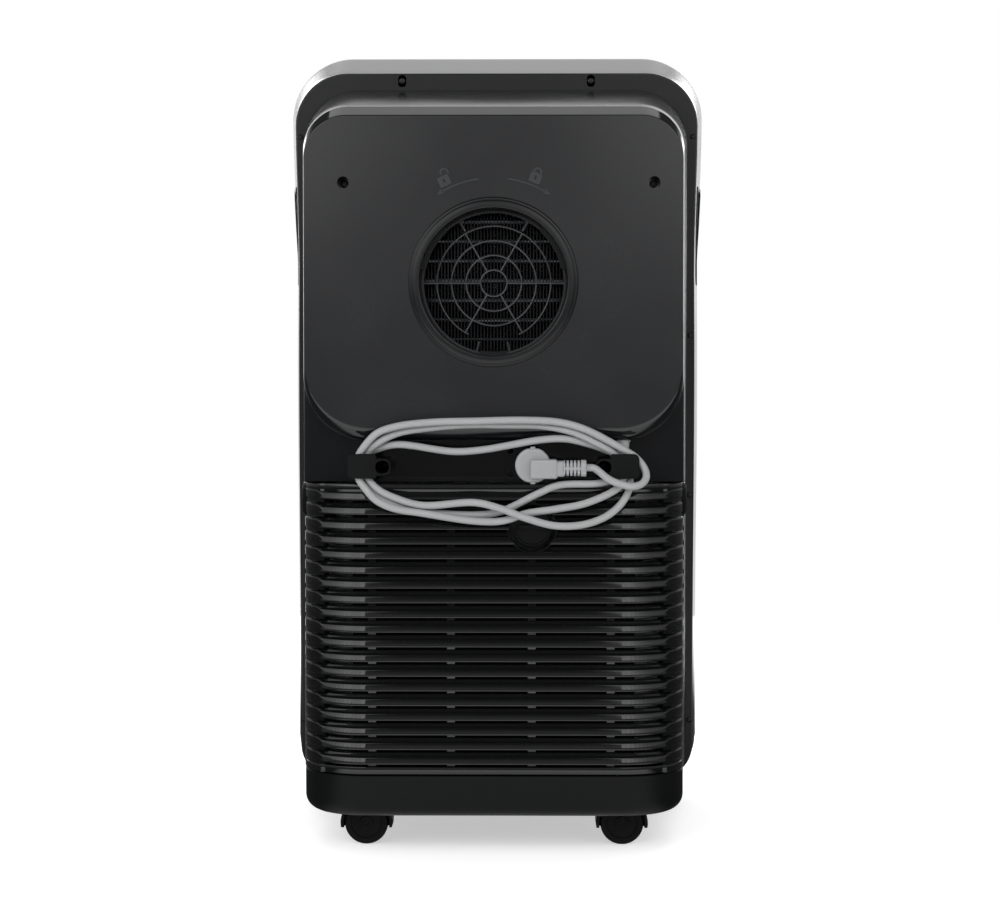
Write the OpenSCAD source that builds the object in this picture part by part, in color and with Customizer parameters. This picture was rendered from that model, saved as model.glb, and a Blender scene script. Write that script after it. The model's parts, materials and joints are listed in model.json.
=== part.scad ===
// Portable air conditioner on casters: a rear cover with a hose outlet and a louvred air intake,
// a wide front frame, a curved front panel with a motorised flap, and a wound mains lead.
// Millimetres. +Z is up, the front faces -Y, and the origin is on the floor under the middle.

/* [Overall] */
// Width across the front frame
overall_w = 469; // [466:1:474]
// Depth from the front panel to the cord hooks
overall_d = 396; // [396:1:400]
// Height from the floor to the ridge of the front frame
overall_h = 852; // [850:1:856]

/* [Rear cover] */
// Width of the rear cover at its rear face
cover_w = 385; // [383:1:387]
// Width of the rear cover where it meets the front frame
cover_front_w = 425; // [423:1:427]
// Height of the rear cover at its rear face
cover_top = 752; // [750:1:754]
// Depth that the upper rear face stands proud of the cord bay
plateau_step = 28; // [26:1:30]
// Height of the lower edge of the upper rear face
plateau_low = 422; // [420:1:424]
// Wall thickness of the mouldings
wall = 2.6; // [2.4:0.1:3]

/* [Hose outlet] */
// Inside diameter of the outlet, which takes the hose adaptor
outlet_d = 150; // [150]
// Height of the outlet's centre
outlet_z = 582.5; // [580:0.5:585]
// Number of guard rings
guard_rings = 4; // [3:1:4]

/* [Rear grille] */
// Number of air slots
slot_count = 19; // [17:1:19]
// Distance from one slot to the next
slot_pitch = 15; // [14.5:0.1:15]
// Height of one slot
slot_h = 3; // [2.5:0.1:3.5]

/* [Base and casters] */
// Width of the base tray and of the grille
base_w = 382; // [380:1:384]
// Height of the base tray's underside
base_low = 40; // [39:1:41]
// Height of the base tray's rim
base_top = 80; // [79:1:81]
// Caster wheel diameter
wheel_d = 45; // [44:0.5:46]
// Distance from the swivel axis to the axle
caster_trail = 13; // [12:0.5:14]

/* [Front] */
// Number of vertical vanes in the air discharge
vane_count = 4; // [3:1:4]
// Number of keys on the control panel
key_count = 5; // [3:1:5]
// Number of intake slots in the front panel
intake_slots = 16; // [12:1:18]

/* [Power cord] */
// Diameter of the mains lead
cord_d = 7.5; // [7:0.1:8]
// Diameter of the plug's round face
plug_d = 36; // [35:1:37]

/* [Hidden] */
$fn = 48;

// Places along Y
front_y = -overall_d / 2;
hook_y = overall_d / 2;
plateau_y = hook_y - 13;
bay_y = plateau_y - plateau_step;
flange_y = -65;
ridge_y = -145;
part_y = -160;
return_y = 118;
part_back = -17;

// Rear cover
cover_seam = 379.5;
pocket_w = 256;
pocket_y = bay_y - 20;
cover_corner_r = 48;
plateau_corner_r = 65;
edge_r = 6;
lower_edge_r = 14;
cover_screws = [[152, 683], [-162.6, 683]];

// Rear grille
grille_r = 65;
grille_low = base_top + 0.6;
grille_top = cover_seam - 2;
grille_face_y = plateau_y;
louvre_depth = 5;
slot_reach = 42;
tab_low = 342;
cap_x = -39.5;
cap_z = 333;

// Casters
caster_x = 120;
caster_rear_y = 120;
caster_front_y = -92;
wheel_r = wheel_d / 2;
hood_r = wheel_r + 4.5;
wheel_w = 10;
web_w = 7;
deck_low = 56;
deck_top = deck_low + wall;
skirt_in = 25;
socket_r = 5.05;
socket_top = 77;

// Front
flap_pivot = [-194, 664];
throat_low = 657;
throat_top = 747;
throat_w = 300;
throat_back = -150;
vane_y = -168;
vane_pitch = 66;
vane_low = throat_low + 8;
vane_top = throat_top - 4;
link_z = 706;
link_arm = 11;
slope_low = [-188, 795];
slope_top = [part_y, 847];

// Hooks, plug and lead
hook_x = 118;
hook_z = 384;
hook_w = 30;
hook_h = 25;
gland = [-132, 168, 422];
plug_c = [-40, 178, 397];
boot_x = -71;

// ---------------------------------------------------------------- shared shapes

function blend_step(t) = let (u = max(0, min(1, t))) u * u * (3 - 2 * u);

// Quarter circle about c, from angle a, in n steps
function quarter(c, r, a, n = 8) =
    [for (i = [0:n]) c + r * [cos(a + 90 * i / n), sin(a + 90 * i / n)]];

// Outline in X and Z with its own half-width, corners and a shoulder where the half-width changes
function case_outline(low_w, top_w, low, top, low_r, top_r) = let (
        side = [for (i = [0:5]) let (z = 560 + 33 * i)
            [low_w + (top_w - low_w) * blend_step(i / 5), z]])
    concat(
        quarter([low_w - low_r, low + low_r], low_r, 270),
        side,
        quarter([top_w - top_r, top - top_r], top_r, 0),
        quarter([top_r - top_w, top - top_r], top_r, 90),
        [for (i = [5:-1:0]) [-side[i].x, side[i].y]],
        quarter([low_r - low_w, low + low_r], low_r, 180));

// Plain rounded outline in two axes, from half-width, ends and corner radii
function round_outline(half, low, high, low_r, high_r, n = 8) = concat(
    quarter([half - low_r, low + low_r], low_r, 270, n),
    quarter([half - high_r, high - high_r], high_r, 0, n),
    quarter([high_r - half, high - high_r], high_r, 90, n),
    quarter([low_r - half, low + low_r], low_r, 180, n));

// Solid through rings of points that all have the same even count; each end is closed in strips
module skin(rings) {
    n = len(rings[0]);
    m = len(rings);
    polyhedron(
        points = [for (r = rings) each r],
        faces = concat(
            [for (i = [0:n / 2 - 2]) [i, i + 1, n - 2 - i, n - 1 - i]],
            [for (k = [0:m - 2], i = [0:n - 1]) let (j = (i + 1) % n)
                each [[k * n + i, (k + 1) * n + i, (k + 1) * n + j],
                      [k * n + i, (k + 1) * n + j, k * n + j]]],
            [for (i = [0:n / 2 - 2], e = m * n - 1) [e - i, e - i - 1, e + i + 2 - n, e + i + 1 - n]]),
        convexity = 8);
}

// Outlines in X and Z, stacked along Y: sections are [y, outline] from the rear to the front
module stack_y(sections) {
    skin([for (s = sections) [for (p = s[1]) [p.x, s[0], p.y]]]);
}

// Outlines in X and Y, stacked along Z from the bottom up
module stack_z(sections) {
    skin([for (s = sections) [for (p = s[1]) [p.x, p.y, s[0]]]]);
}

// Plate with round corners that faces along Y
module plate_y(w, h, t, r) {
    rotate([90, 0, 0]) translate([0, 0, -t]) linear_extrude(t) rounded(w, h, r);
}

module rounded(w, h, r) {
    square([w, h - 2 * r], center = true);
    square([w - 2 * r, h], center = true);
    for (x = [-1, 1], y = [-1, 1]) translate([x * (w / 2 - r), y * (h / 2 - r)]) circle(r);
}

// Cylinder that runs rearwards from y
module rod_y(x, y, z, r, l) {
    translate([x, y, z]) rotate([-90, 0, 0]) cylinder(r = r, h = l);
}

module box(low, high) {
    translate(low) cube(high - low);
}

// ---------------------------------------------------------------- case

function cover_half(y) = cover_w / 2 + (cover_front_w - cover_w) / 2
    * (plateau_y - y) / (plateau_y - flange_y);
function cover_high(y) = cover_top + 38 * (plateau_y - y) / (plateau_y - flange_y);
function cover_ring(y, inset) = [y, round_outline(cover_half(y) - inset, base_top - 1,
    cover_high(y) - inset, 0.6, cover_corner_r + 10 * (plateau_y - y) / 250 - inset)];
function plateau_ring(y, inset, low) = [y, round_outline(cover_half(y) - inset,
    plateau_low + low, cover_high(y) - inset, plateau_corner_r, cover_corner_r - inset)];

module cover_outside() {
    stack_y(concat(
        [for (a = [90:-30:0]) cover_ring(bay_y - edge_r * (1 - sin(a)), edge_r * (1 - cos(a)))],
        [cover_ring(flange_y, 0)]));
    stack_y(concat(
        [for (a = [90:-22.5:0]) plateau_ring(plateau_y - 12 * (1 - sin(a)),
            edge_r * (1 - cos(a)), lower_edge_r * (1 - cos(a)))],
        [plateau_ring(bay_y - 10, 0, 0)]));
}

module cover_inside() {
    stack_y([cover_ring(bay_y - wall, wall + 1), cover_ring(flange_y - 1, wall)]);
    stack_y([plateau_ring(plateau_y - wall, wall + 4, wall + 8),
        plateau_ring(plateau_y - 8, wall, wall + 1), plateau_ring(bay_y - 12, wall, wall + 1)]);
}

module cord_pocket(grow) {
    translate([0, pocket_y - grow, (cover_seam + wall + plateau_low - 1) / 2])
        plate_y(pocket_w + 2 * grow, plateau_low - 1 - cover_seam - wall + 2 * grow,
            60, 8 + grow);
}

module rear_cover() color("#2e2f31") {
    difference() {
        cover_outside();
        difference() {
            cover_inside();
            intersection() {
                cord_pocket(wall);
                box([-150, pocket_y - wall, 370], [150, bay_y - 1, 430]);
            }
            box([-200, return_y - 4, cover_seam], [200, bay_y, cover_seam + wall]);
            for (p = cover_screws) rod_y(p.x, plateau_y - 30, p.y, 9, 40);
        }
        box([-250, return_y, 70], [250, plateau_y + 20, cover_seam]);
        box([-250, flange_y - 2, 70], [250, plateau_y, base_top]);
        intersection() {
            cord_pocket(0);
            box([-150, pocket_y, 370], [150, bay_y + 10, 430]);
        }
        rod_y(0, plateau_y - 60, outlet_z, outlet_d / 2 + 8.2, 80);
        for (p = cover_screws) {
            rod_y(p.x, plateau_y - 22, p.y, 6, 40);
            rod_y(p.x, plateau_y - 40, p.y, 2.3, 60);
        }
        for (s = [-1, 1]) rod_y(s * 112.6, pocket_y - 10, hook_z + 11.5, 2.2, 20);
        translate([gland.x, gland.y, gland.z - 5]) cylinder(r = 6, h = 12);
        for (z = [388, 411]) rod_y(-17, pocket_y - 20, z, 2.2, 40);
    }
    // Rims that the grille closes against, and strips beside the base tray
    for (s = [0, 1]) mirror([s, 0, 0]) {
        box([180, return_y - 4, base_top], [cover_half(return_y) - 1, return_y - 1.4, cover_seam]);
        translate([0, 0, base_top]) linear_extrude(wall) polygon([[187, flange_y],
            [cover_half(flange_y) - 1, flange_y], [cover_half(return_y) - 1, return_y - 2],
            [187, return_y - 2]]);
    }
}

function frame_ring(y, inset = 0) = let (
        // [y, low half-width, top half-width, low, top, low corner, top corner]
        rings = [
            [flange_y, overall_w / 2 - 15, overall_w / 2 - 10.8, 36, 826, 36, 58],
            [ridge_y, overall_w / 2 - 6.5, overall_w / 2, 30, overall_h, 40, 70],
            [part_y, overall_w / 2 - 7.5, overall_w / 2 - 1, 31, slope_top.y, 40, 69],
            [-170, overall_w / 2 - 10.5, overall_w / 2 - 4, 34, 828.4, 40, 66],
            [-180, overall_w / 2 - 15, overall_w / 2 - 8.5, 38, 809.9, 39, 62],
            [slope_low.x, overall_w / 2 - 21, overall_w / 2 - 14.5, 44, slope_low.y, 38, 56],
            [-194, overall_w / 2 - 29, overall_w / 2 - 22.5, 52, 781, 36, 50],
            [front_y, overall_w / 2 - 42, overall_w / 2 - 36, 64, 768, 34, 42]],
        k = max([for (i = [0:len(rings) - 2]) y <= rings[i][0] ? i : 0]),
        t = (y - rings[k][0]) / (rings[k + 1][0] - rings[k][0]),
        v = rings[k] + (rings[k + 1] - rings[k]) * t)
    [y, case_outline(v[1] - inset, v[2] - inset, v[3] + inset, v[4] - inset,
        v[5] - inset, v[6] - inset)];

module front_frame() color("#3a3b3d") {
    difference() {
        stack_y([frame_ring(flange_y, 1), frame_ring(flange_y - 1.5), frame_ring(-105),
            frame_ring(ridge_y), frame_ring(part_y)]);
        stack_y([frame_ring(flange_y - 3, 3), frame_ring(ridge_y, 3), frame_ring(part_y - 1, 3)]);
        // Mouth that the rear cover closes
        stack_y([[flange_y + 2, round_outline(204, 70, 782, 2, 54)],
            [flange_y - 5, round_outline(204, 70, 782, 2, 54)]]);
        // Place of the base tray
        box([-base_w / 2 - 0.4, -141, 20], [base_w / 2 + 0.4, flange_y + 2, base_top]);
        // Screw pockets
        for (x = [-105, 105]) translate([x, flange_y - 1.6, 815])
            plate_y(9, 14, 5, 4.4);
        for (s = [-1, 1], p = side_screws) rod_y(s * p.x, flange_y - 12, p.y, 1.9, 20);
        for (x = [-105, 105]) rod_y(x, flange_y - 12, 815, 2.1, 20);
        for (x = [-1, 1]) grip_space(x);
    }
    // Bosses behind the screw pockets, and walls beside the base tray
    for (x = [-105, 105]) difference() {
        rod_y(x, flange_y - 7, 815, 6.5, 5.4);
        rod_y(x, flange_y - 8, 815, 2.1, 10);
    }
    for (s = [-1, 1]) translate([s * (base_w / 2 + 2), 0, 0])
        box([-1.4, -141, 32], [1.4, flange_y - 1, base_top + 4]);
    box([-base_w / 2, -143.5, 33], [base_w / 2, -141, base_top + 4]);
}

side_screws = [[216.2, 101], [216.2, 354], [216.2, 532], [218.5, 753]];

module grip_space(s) {
    box([s > 0 ? 205 : -240, -140, 590], [s > 0 ? 240 : -205, -92, 700]);
}

// Recessed cups in the sides of the frame, for lifting
module hand_grips() color("#242526") for (s = [-1, 1]) {
    intersection() {
        difference() {
            box([s > 0 ? 204 : -236, -139.6, 590.4], [s > 0 ? 236 : -204, -92.4, 699.6]);
            translate([s * 225, -116, 632]) rotate([0, 90, 0]) translate([0, 0, -18])
                linear_extrude(60) rounded(76, 42, 10);
            translate([s * 226, -116, 672]) rotate([0, 90, 0]) translate([0, 0, -19])
                linear_extrude(60) rounded(48, 42, 10);
        }
        stack_y([frame_ring(flange_y - 3, 0.4), frame_ring(ridge_y, 0.4),
            frame_ring(part_y, 0.4)]);
    }
}

module front_fascia() color("#3a3b3d") difference() {
    union() {
        difference() {
            stack_y([for (y = [part_y, -170, -180, slope_low.x, -194, front_y]) frame_ring(y)]);
            stack_y([for (y = [part_y + 1, -170, -180, slope_low.x, -192, front_y + 3])
                frame_ring(y, 3)]);
        }
        // Throat of the air discharge
        box([-throat_w / 2 - 3, front_y + 1, throat_low - 3],
            [throat_w / 2 + 3, throat_back, throat_top + 3]);
        panel_place(2.4, 0.5, 8.5);
    }
    box([-throat_w / 2, front_y - 2, throat_low], [throat_w / 2, throat_back + 1, throat_top]);
    for (i = [0:intake_slots - 1])
        box([-150, front_y - 1, 198.1 + 16 * i], [150, front_y + 5, 201.9 + 16 * i]);
    panel_place(0.2, -1, 6);
    panel_place(-8, 5, 14);
    // Bearings of the flap and of the vanes
    translate([0, flap_pivot.x, flap_pivot.y]) rotate([0, 90, 0])
        cylinder(r = 2.5, h = throat_w + 5, center = true);
    for (i = [0:vane_count - 1]) translate([vane_x(i), vane_y, throat_low - 8])
        cylinder(r = 2, h = 120);
}

// Block in the sloping top of the front panel, between two depths below the surface
module panel_place(grow, from, to) {
    on_slope() translate([0, from, 0]) plate_y(250 + 2 * grow, 42 + 2 * grow, to - from, 6);
}

slope_tilt = atan((slope_top.x - slope_low.x) / (slope_top.y - slope_low.y));

// Puts children in the plane of the control panel: X across, Z up the slope, -Y outwards
module on_slope() {
    translate([0, (slope_low.x + slope_top.x) / 2, (slope_low.y + slope_top.y) / 2])
        rotate([-slope_tilt, 0, 0]) children();
}

function key_x(i) = -100 + 26 * i;

module control_panel() color("#17181a") on_slope() difference() {
    plate_y(250, 42, 6, 6);
    for (i = [0:key_count - 1]) translate([key_x(i), -1, 0]) rotate([-90, 0, 0])
        cylinder(r = 8.3, h = 10);
    translate([75, -1, 0]) plate_y(70, 28, 3.5, 3);
}

module display_window() color("#0c0d10") on_slope() translate([75, 0.1, 0])
    plate_y(69.6, 27.6, 2.4, 2.8);

// Round key: a cap through the panel and a collar behind it
module key(i) color("#4a4b4e") on_slope() translate([key_x(i), -1.2, 0]) rotate([-90, 0, 0]) {
    cylinder(r = 8, h = 7.5);
    translate([0, 0, 7.3]) cylinder(r = 9.6, h = 1.4);
}

// ---------------------------------------------------------------- hose outlet

module outlet_ring() color("#303133") {
    difference() {
        union() {
            rod_y(0, plateau_y - 36, outlet_z, outlet_d / 2 + 8, 34);
            translate([0, plateau_y, outlet_z]) rotate([-90, 0, 0])
                rotate_extrude() polygon([[outlet_d / 2 - 4, -3], [outlet_d / 2 + 8, -3],
                    [outlet_d / 2 + 8, 0], [outlet_d / 2 + 11, 0], [outlet_d / 2 + 10, 1.4],
                    [outlet_d / 2 + 6, 2.8], [outlet_d / 2 + 1.5, 3.2], [outlet_d / 2 - 4, 3.2]]);
        }
        rod_y(0, plateau_y - 14, outlet_z, outlet_d / 2, 30);
        rod_y(0, plateau_y - 30, outlet_z, outlet_d / 2 + 4, 16);
        rod_y(0, plateau_y - 40, outlet_z, outlet_d / 2 - 1, 20);
    }
    // Bayonet lugs for the hose adaptor, below the mouth
    for (a = [[131, 170], [10, 49], [258, 282]]) translate([0, plateau_y - 20, outlet_z])
        rotate([-90, 0, 0]) rotate([0, 0, -a[1]]) rotate_extrude(angle = a[1] - a[0])
            translate([outlet_d / 2 - 5, 0]) square([10, 3]);
}

module guard_ring(r, gap) {
    translate([0, plateau_y - 33, outlet_z]) rotate([-90, 0, 0]) rotate([0, 0, 90 + gap])
        rotate_extrude(angle = 360 - 2 * gap) translate([r, 0]) circle(r = 1.2, $fn = 16);
}

// Finger guard: rings on spokes, open at the bottom of its outer ring
module outlet_guard() color("#3a3b3d") {
    for (i = [0:guard_rings - 1]) guard_ring(13.5 + 15 * i, i == guard_rings - 1 ? 26 : 0);
    for (a = [[0, 13.5, 73], [180, 13.5, 73], [60, 13.5, 69], [120, 13.5, 69],
            [240, 13.5, 59], [300, 13.5, 59], [257, 60, 73], [284, 60, 73]])
        translate([0, plateau_y - 33, outlet_z]) rotate([0, -a[0], 0]) translate([a[1], 0, 0])
            rotate([0, 90, 0]) cylinder(r = 1.1, h = a[2] - a[1], $fn = 16);
    difference() {
        rod_y(0, plateau_y - 34.2, outlet_z, outlet_d / 2 - 1.1, 2.4);
        rod_y(0, plateau_y - 35, outlet_z, outlet_d / 2 - 3.4, 5);
    }
}

// ---------------------------------------------------------------- rear grille

// Louvred wall as seen in section: distance out from the inner face, and height
function louvre_section() = concat(
    [[0, grille_low], [6.5, grille_low], [6.5, slot_z(0) - slot_h / 2]],
    [for (i = [0:slot_count - 1]) each
        [[4.5, slot_z(i) - slot_h / 2], [4.5, slot_z(i) + slot_h / 2],
         [4.5 + louvre_depth, slot_z(i) + slot_h / 2], [6, slot_z(i) + slot_h / 2 + 8.2]]],
    [[6, grille_top], [0, grille_top]]);

function slot_z(i) = 90 + slot_pitch * i;

// Sweeps an outline of distance and height round the rear, both corners and both sides
module wrap(inner, outline, side_from, corner = 90) {
    run = base_w / 2 - grille_r;
    translate([-run, grille_face_y - inner, 0]) rotate([90, 0, 90]) linear_extrude(2 * run)
        polygon(outline);
    for (s = [0, 1]) mirror([s, 0, 0]) {
        translate([run, grille_face_y - grille_r, 0]) rotate([0, 0, 90 - corner])
            rotate_extrude(angle = corner) translate([grille_r - inner, 0]) polygon(outline);
        if (side_from < grille_face_y - grille_r)
            translate([base_w / 2 - inner, grille_face_y - grille_r, 0])
                rotate([90, 0, 0]) linear_extrude(grille_face_y - grille_r - side_from)
                    polygon(outline);
    }
}

// Vertical rib behind the slots
module rib(x) {
    box([x - 4, grille_face_y - 13, grille_low + 1], [x + 4, grille_face_y - 8.6, grille_top - 1]);
}

module rear_grille() color("#1c1d1f") {
    inner = louvre_depth + 4.5;
    cut = slot_h / 2 - 0.1;
    difference() {
        union() {
            wrap(inner, louvre_section(), return_y + 0.3);
            for (s = [0, 1]) mirror([s, 0, 0]) groove_floor(inner);
            // Finger tabs at the top of both sides
            for (s = [-1, 1]) translate([s * (base_w / 2 - 1), 0, 0]) skin_tab(s);
        }
        for (i = [0:slot_count - 1])
            wrap(inner + 1, [[0, slot_z(i) - cut], [inner + 3, slot_z(i) - cut],
                [inner + 3, slot_z(i) + cut], [0, slot_z(i) + cut]], grille_face_y, slot_reach);
        rod_y(cap_x, grille_face_y - 30, cap_z, 24, 60);
    }
    difference() {
        for (x = [-119.5, -39, 43.5, 124]) rib(x);
        rod_y(cap_x, grille_face_y - 30, cap_z, 24.5, 60);
    }
    // Collar round the opening for the drain cap
    difference() {
        rod_y(cap_x, grille_face_y - 10, cap_z, 26, 8.2);
        rod_y(cap_x, grille_face_y - 11, cap_z, 23.6, 20);
    }
}

// Makes the grooves shallow from a little past the slots to the side edges
module groove_floor(inner) {
    high = grille_top - grille_low - 2;
    translate([base_w / 2 - grille_r, grille_face_y - grille_r, grille_low + 1])
        rotate_extrude(angle = 86 - slot_reach) translate([grille_r - inner + 1, 0])
            square([6.8, high]);
    box([base_w / 2 - inner + 1, return_y + 0.8, grille_low + 1],
        [base_w / 2 - inner + 7.8, grille_face_y - grille_r, grille_low + 1 + high]);
}

module skin_tab(s) {
    skin([for (p = [[tab_low, 0.2], [tab_low + 6, 4], [grille_top - 6, 4], [grille_top, 1]])
        let (o = s * p[1], i = -s * 1.5, back = grille_face_y - grille_r + 10)
            (s > 0 ? [[i, return_y + 1, p[0]], [i, back, p[0]], [o, back - 4, p[0]],
                [o, return_y + 3, p[0]]]
            : [[o, return_y + 3, p[0]], [o, back - 4, p[0]], [i, back, p[0]],
                [i, return_y + 1, p[0]]])]);
}

// Filter that is clipped to the ribs of the grille
module air_filter() color("#5a5c5e") {
    difference() {
        box([-144, grille_face_y - 19, 92], [144, grille_face_y - 13, 372]);
        for (i = [0:5], j = [0:5]) box([-138 + 47 * i, grille_face_y - 20, 98 + 45.5 * j],
            [-97 + 47 * i, grille_face_y - 15, 137.5 + 45.5 * j]);
        rod_y(cap_x, grille_face_y - 30, cap_z, 24, 60);
    }
}

// Drain pipe from the partition to the opening in the grille
module drain_spigot() color("#2a2b2d") difference() {
    union() {
        rod_y(cap_x, part_back, cap_z, 11, grille_face_y - 20.8 - part_back);
        rod_y(cap_x, part_back, cap_z, 18, 4);
    }
    rod_y(cap_x, part_back - 1, cap_z, 8, 200);
}

// Cap that turns on the drain pipe, with a finger bar across it
module drain_cap() color("#101112") {
    difference() {
        rod_y(cap_x, grille_face_y - 26.5, cap_z, 20, 11);
        rod_y(cap_x, grille_face_y - 27.5, cap_z, 11.06, 7);
        rod_y(cap_x, grille_face_y - 18, cap_z, 17.5, 5);
    }
    translate([cap_x, grille_face_y - 18.5, cap_z]) plate_y(30, 5, 3.4, 2.4);
}

// ---------------------------------------------------------------- base and casters

function tray_ring(z, inset, front) = [z, let (w = base_w / 2 - inset) concat(
    quarter([w - 12, -128 + front], 12, 270), quarter([w - 65 + inset, grille_face_y - 65],
        65 - inset, 0),
    quarter([65 - inset - w, grille_face_y - 65], 65 - inset, 90),
    quarter([12 - w, -128 + front], 12, 180))];

function caster_places() = [
    [caster_x, caster_rear_y], [-caster_x, caster_rear_y],
    [caster_x, caster_front_y], [-caster_x, caster_front_y]];

// Pan with a skirt that hides the tops of the casters, and a raised deck between
module base_tray() color("#1b1c1e") difference() {
    union() {
        difference() {
            stack_z(concat([for (a = [90:-18:0]) tray_ring(base_low + 22 * (1 - sin(a)),
                22 * (1 - cos(a)), 0)], [tray_ring(base_top, 0, 0)]));
            stack_z(concat([for (a = [90:-30:0]) tray_ring(base_low + wall + 21 * (1 - sin(a)),
                wall + 21 * (1 - cos(a)), wall)], [tray_ring(base_top + 1, wall, wall)]));
        }
        stack_z([for (z = [base_low, deck_top]) tray_ring(z, skirt_in - wall, 1)]);
        for (p = caster_places()) translate([p.x, p.y, deck_low + 1])
            cylinder(r = 9, h = socket_top + 2 - deck_low - 1);
    }
    stack_z([for (z = [base_low - 1, deck_low]) tray_ring(z, skirt_in, 4)]);
    for (p = caster_places()) translate([p.x, p.y, deck_low - 5])
        cylinder(r = socket_r, h = socket_top - deck_low + 5);
}

// Caster body: stem, hood over the wheels, web and axle; side is +1 where it trails to +X
module caster(p, side) color("#161718") translate([p.x + side * caster_trail, p.y, wheel_r]) {
    difference() {
        union() {
            rod_y(0, -14.5, 0, hood_r, 29);
            translate([-side * caster_trail, 0, 14]) cylinder(r = 8.5, h = deck_low - wheel_r - 14.6);
        }
        for (s = [-1, 1]) rod_y(0, s > 0 ? web_w / 2 : -20, 0, wheel_r + 1.4, 20 - web_w / 2);
        box([-40, -20, -40], [40, 20, -5]);
    }
    translate([-side * caster_trail, 0, 25]) cylinder(r = 5, h = socket_top - wheel_r - 26.5);
    rod_y(0, -web_w / 2, 0, 7, web_w);
    rod_y(0, -13.8, 0, 3, 27.6);
}

module wheel(p, side, half) color("#101112")
    translate([p.x + side * caster_trail, p.y + half * (web_w / 2 + 0.5 + wheel_w / 2), wheel_r])
        rotate([90, 0, 0]) difference() {
            rotate_extrude() polygon([[3.05, -wheel_w / 2], [wheel_r - 1.5, -wheel_w / 2],
                [wheel_r, -wheel_w / 2 + 1.5], [wheel_r, wheel_w / 2 - 1.5],
                [wheel_r - 1.5, wheel_w / 2], [3.05, wheel_w / 2]]);
            for (s = [-1, 1]) translate([0, 0, s * wheel_w / 2]) rotate_extrude()
                translate([7, -1]) square([9, 2]);
        }

// ---------------------------------------------------------------- air discharge

function vane_x(i) = vane_pitch * (i - (vane_count - 1) / 2);

module flap() color("#3a3b3d") {
    difference() {
        union() {
            box([-148, front_y + 0.4, 659], [148, front_y + 3.2, 745]);
            translate([-148, flap_pivot.x, flap_pivot.y]) rotate([0, 90, 0])
                cylinder(r = 3.6, h = 296);
        }
        box([-130, front_y + 2.2, 680], [130, front_y + 4, 730]);
    }
    translate([-152, flap_pivot.x, flap_pivot.y]) rotate([0, 90, 0]) cylinder(r = 2.45, h = 304);
}

module vane(i) color("#2a2b2d") translate([vane_x(i), vane_y, 0]) {
    difference() {
        union() {
            box([-1.1, -15, vane_low], [1.1, 13.5, vane_top]);
            translate([0, 0, vane_low]) cylinder(r = 3.2, h = vane_top - vane_low);
        }
        box([-5, 5.2, link_z - 5], [5, 20, link_z + 5]);
    }
    for (z = [throat_low - 2, vane_top - 1])
        translate([0, 0, z]) cylinder(r = 1.95, h = vane_low - throat_low + 3);
    translate([0, link_arm, link_z - 6]) cylinder(r = 1.2, h = 12);
}

module vane_link() color("#2a2b2d") difference() {
    box([-vane_pitch * 1.5 - 8, vane_y + link_arm - 5.2, link_z - 2],
        [vane_pitch * 1.5 + 8, vane_y + link_arm + 4, link_z + 2]);
    for (i = [0:vane_count - 1]) hull() for (d = [-2.6, 0])
        translate([vane_x(i), vane_y + link_arm + d, link_z - 3]) cylinder(r = 1.75, h = 6);
}

// ---------------------------------------------------------------- fans and coils

// Blower wheel on an axis along Y, open at its rear
module blower_wheel(r, depth, blades) {
    difference() {
        rod_y(0, 0, 0, r, 3);
        rod_y(0, -1, 0, 4.05, 10);
    }
    difference() {
        rod_y(0, 0, 0, 16, 24);
        rod_y(0, -1, 0, 4.05, 40);
    }
    difference() {
        rod_y(0, depth - 3, 0, r, 3);
        rod_y(0, depth - 4, 0, r - 15, 6);
    }
    for (i = [0:blades - 1]) rotate([0, 360 / blades * i, 0]) translate([r - 13, 2, 0])
        rotate([0, 30, 0]) cube([11.5, depth - 4, 1.6]);
}

module blower_housing(r, low, depth, duct_low, duct_high, duct_half, duct_from, duct_to) {
    difference() {
        union() {
            rod_y(0, low, 0, r, depth);
            box([-duct_half, duct_from, duct_low], [duct_half, duct_to, duct_high]);
        }
        rod_y(0, low + 2, 0, r - 2.5, depth - 4);
        rod_y(0, low + depth - 5, 0, r - 40, 10);
        rod_y(0, low - 1, 0, 6, 10);
        box([-duct_half + 2.5, duct_from - 1, duct_low + 2.5],
            [duct_half - 2.5, duct_to + 1, duct_high - 2.5]);
    }
}

rear_fan = [0, 6, 582.5];
coil_y = 120;
front_fan = [0, -114, 585];

module rear_fan_housing() color("#77797b") translate([0, 0, rear_fan.z]) {
    difference() {
        blower_housing(122, 2, 92, -108, 108, 140, 60, 104);
        rod_y(0, 0, 0, 119, 60);
    }
    for (x = [-134, 134], z = [-102, 102]) rod_y(x, part_back, z, 5.5, 60 + 6 - part_back);
}

module rear_fan_motor() color("#8a8c8e") translate([0, 0, rear_fan.z]) {
    rod_y(0, part_back, 0, 46, 3);
    rod_y(0, part_back + 1, 0, 38, 39);
    rod_y(0, 20, 0, 4, 32);
}

module rear_fan_wheel() color("#b9bbbd") translate([0, 28, rear_fan.z]) blower_wheel(100, 52, 24);

module front_fan_housing() color("#77797b") translate([0, 0, front_fan.z])
    blower_housing(112, -138, 84, 66, 166, 154, throat_back, -90);

module front_fan_motor() color("#8a8c8e") translate([0, 0, front_fan.z]) {
    rod_y(0, -52, 0, 36, 32);
    rod_y(0, -110, 0, 4, 60);
}

module front_fan_wheel() color("#b9bbbd") translate([0, -110, front_fan.z])
    blower_wheel(92, 48, 24);

// Slab of fins with a header plate at each end
module fins(w, low, high, y, depth, pitch) {
    difference() {
        box([-w / 2, y, low], [w / 2, y + depth, high]);
        for (x = [-w / 2 + 3:pitch:w / 2 - 3])
            box([x, y + depth - 6, low - 1], [x + pitch * 0.55, y + depth + 1, high + 1]);
    }
}

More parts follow.
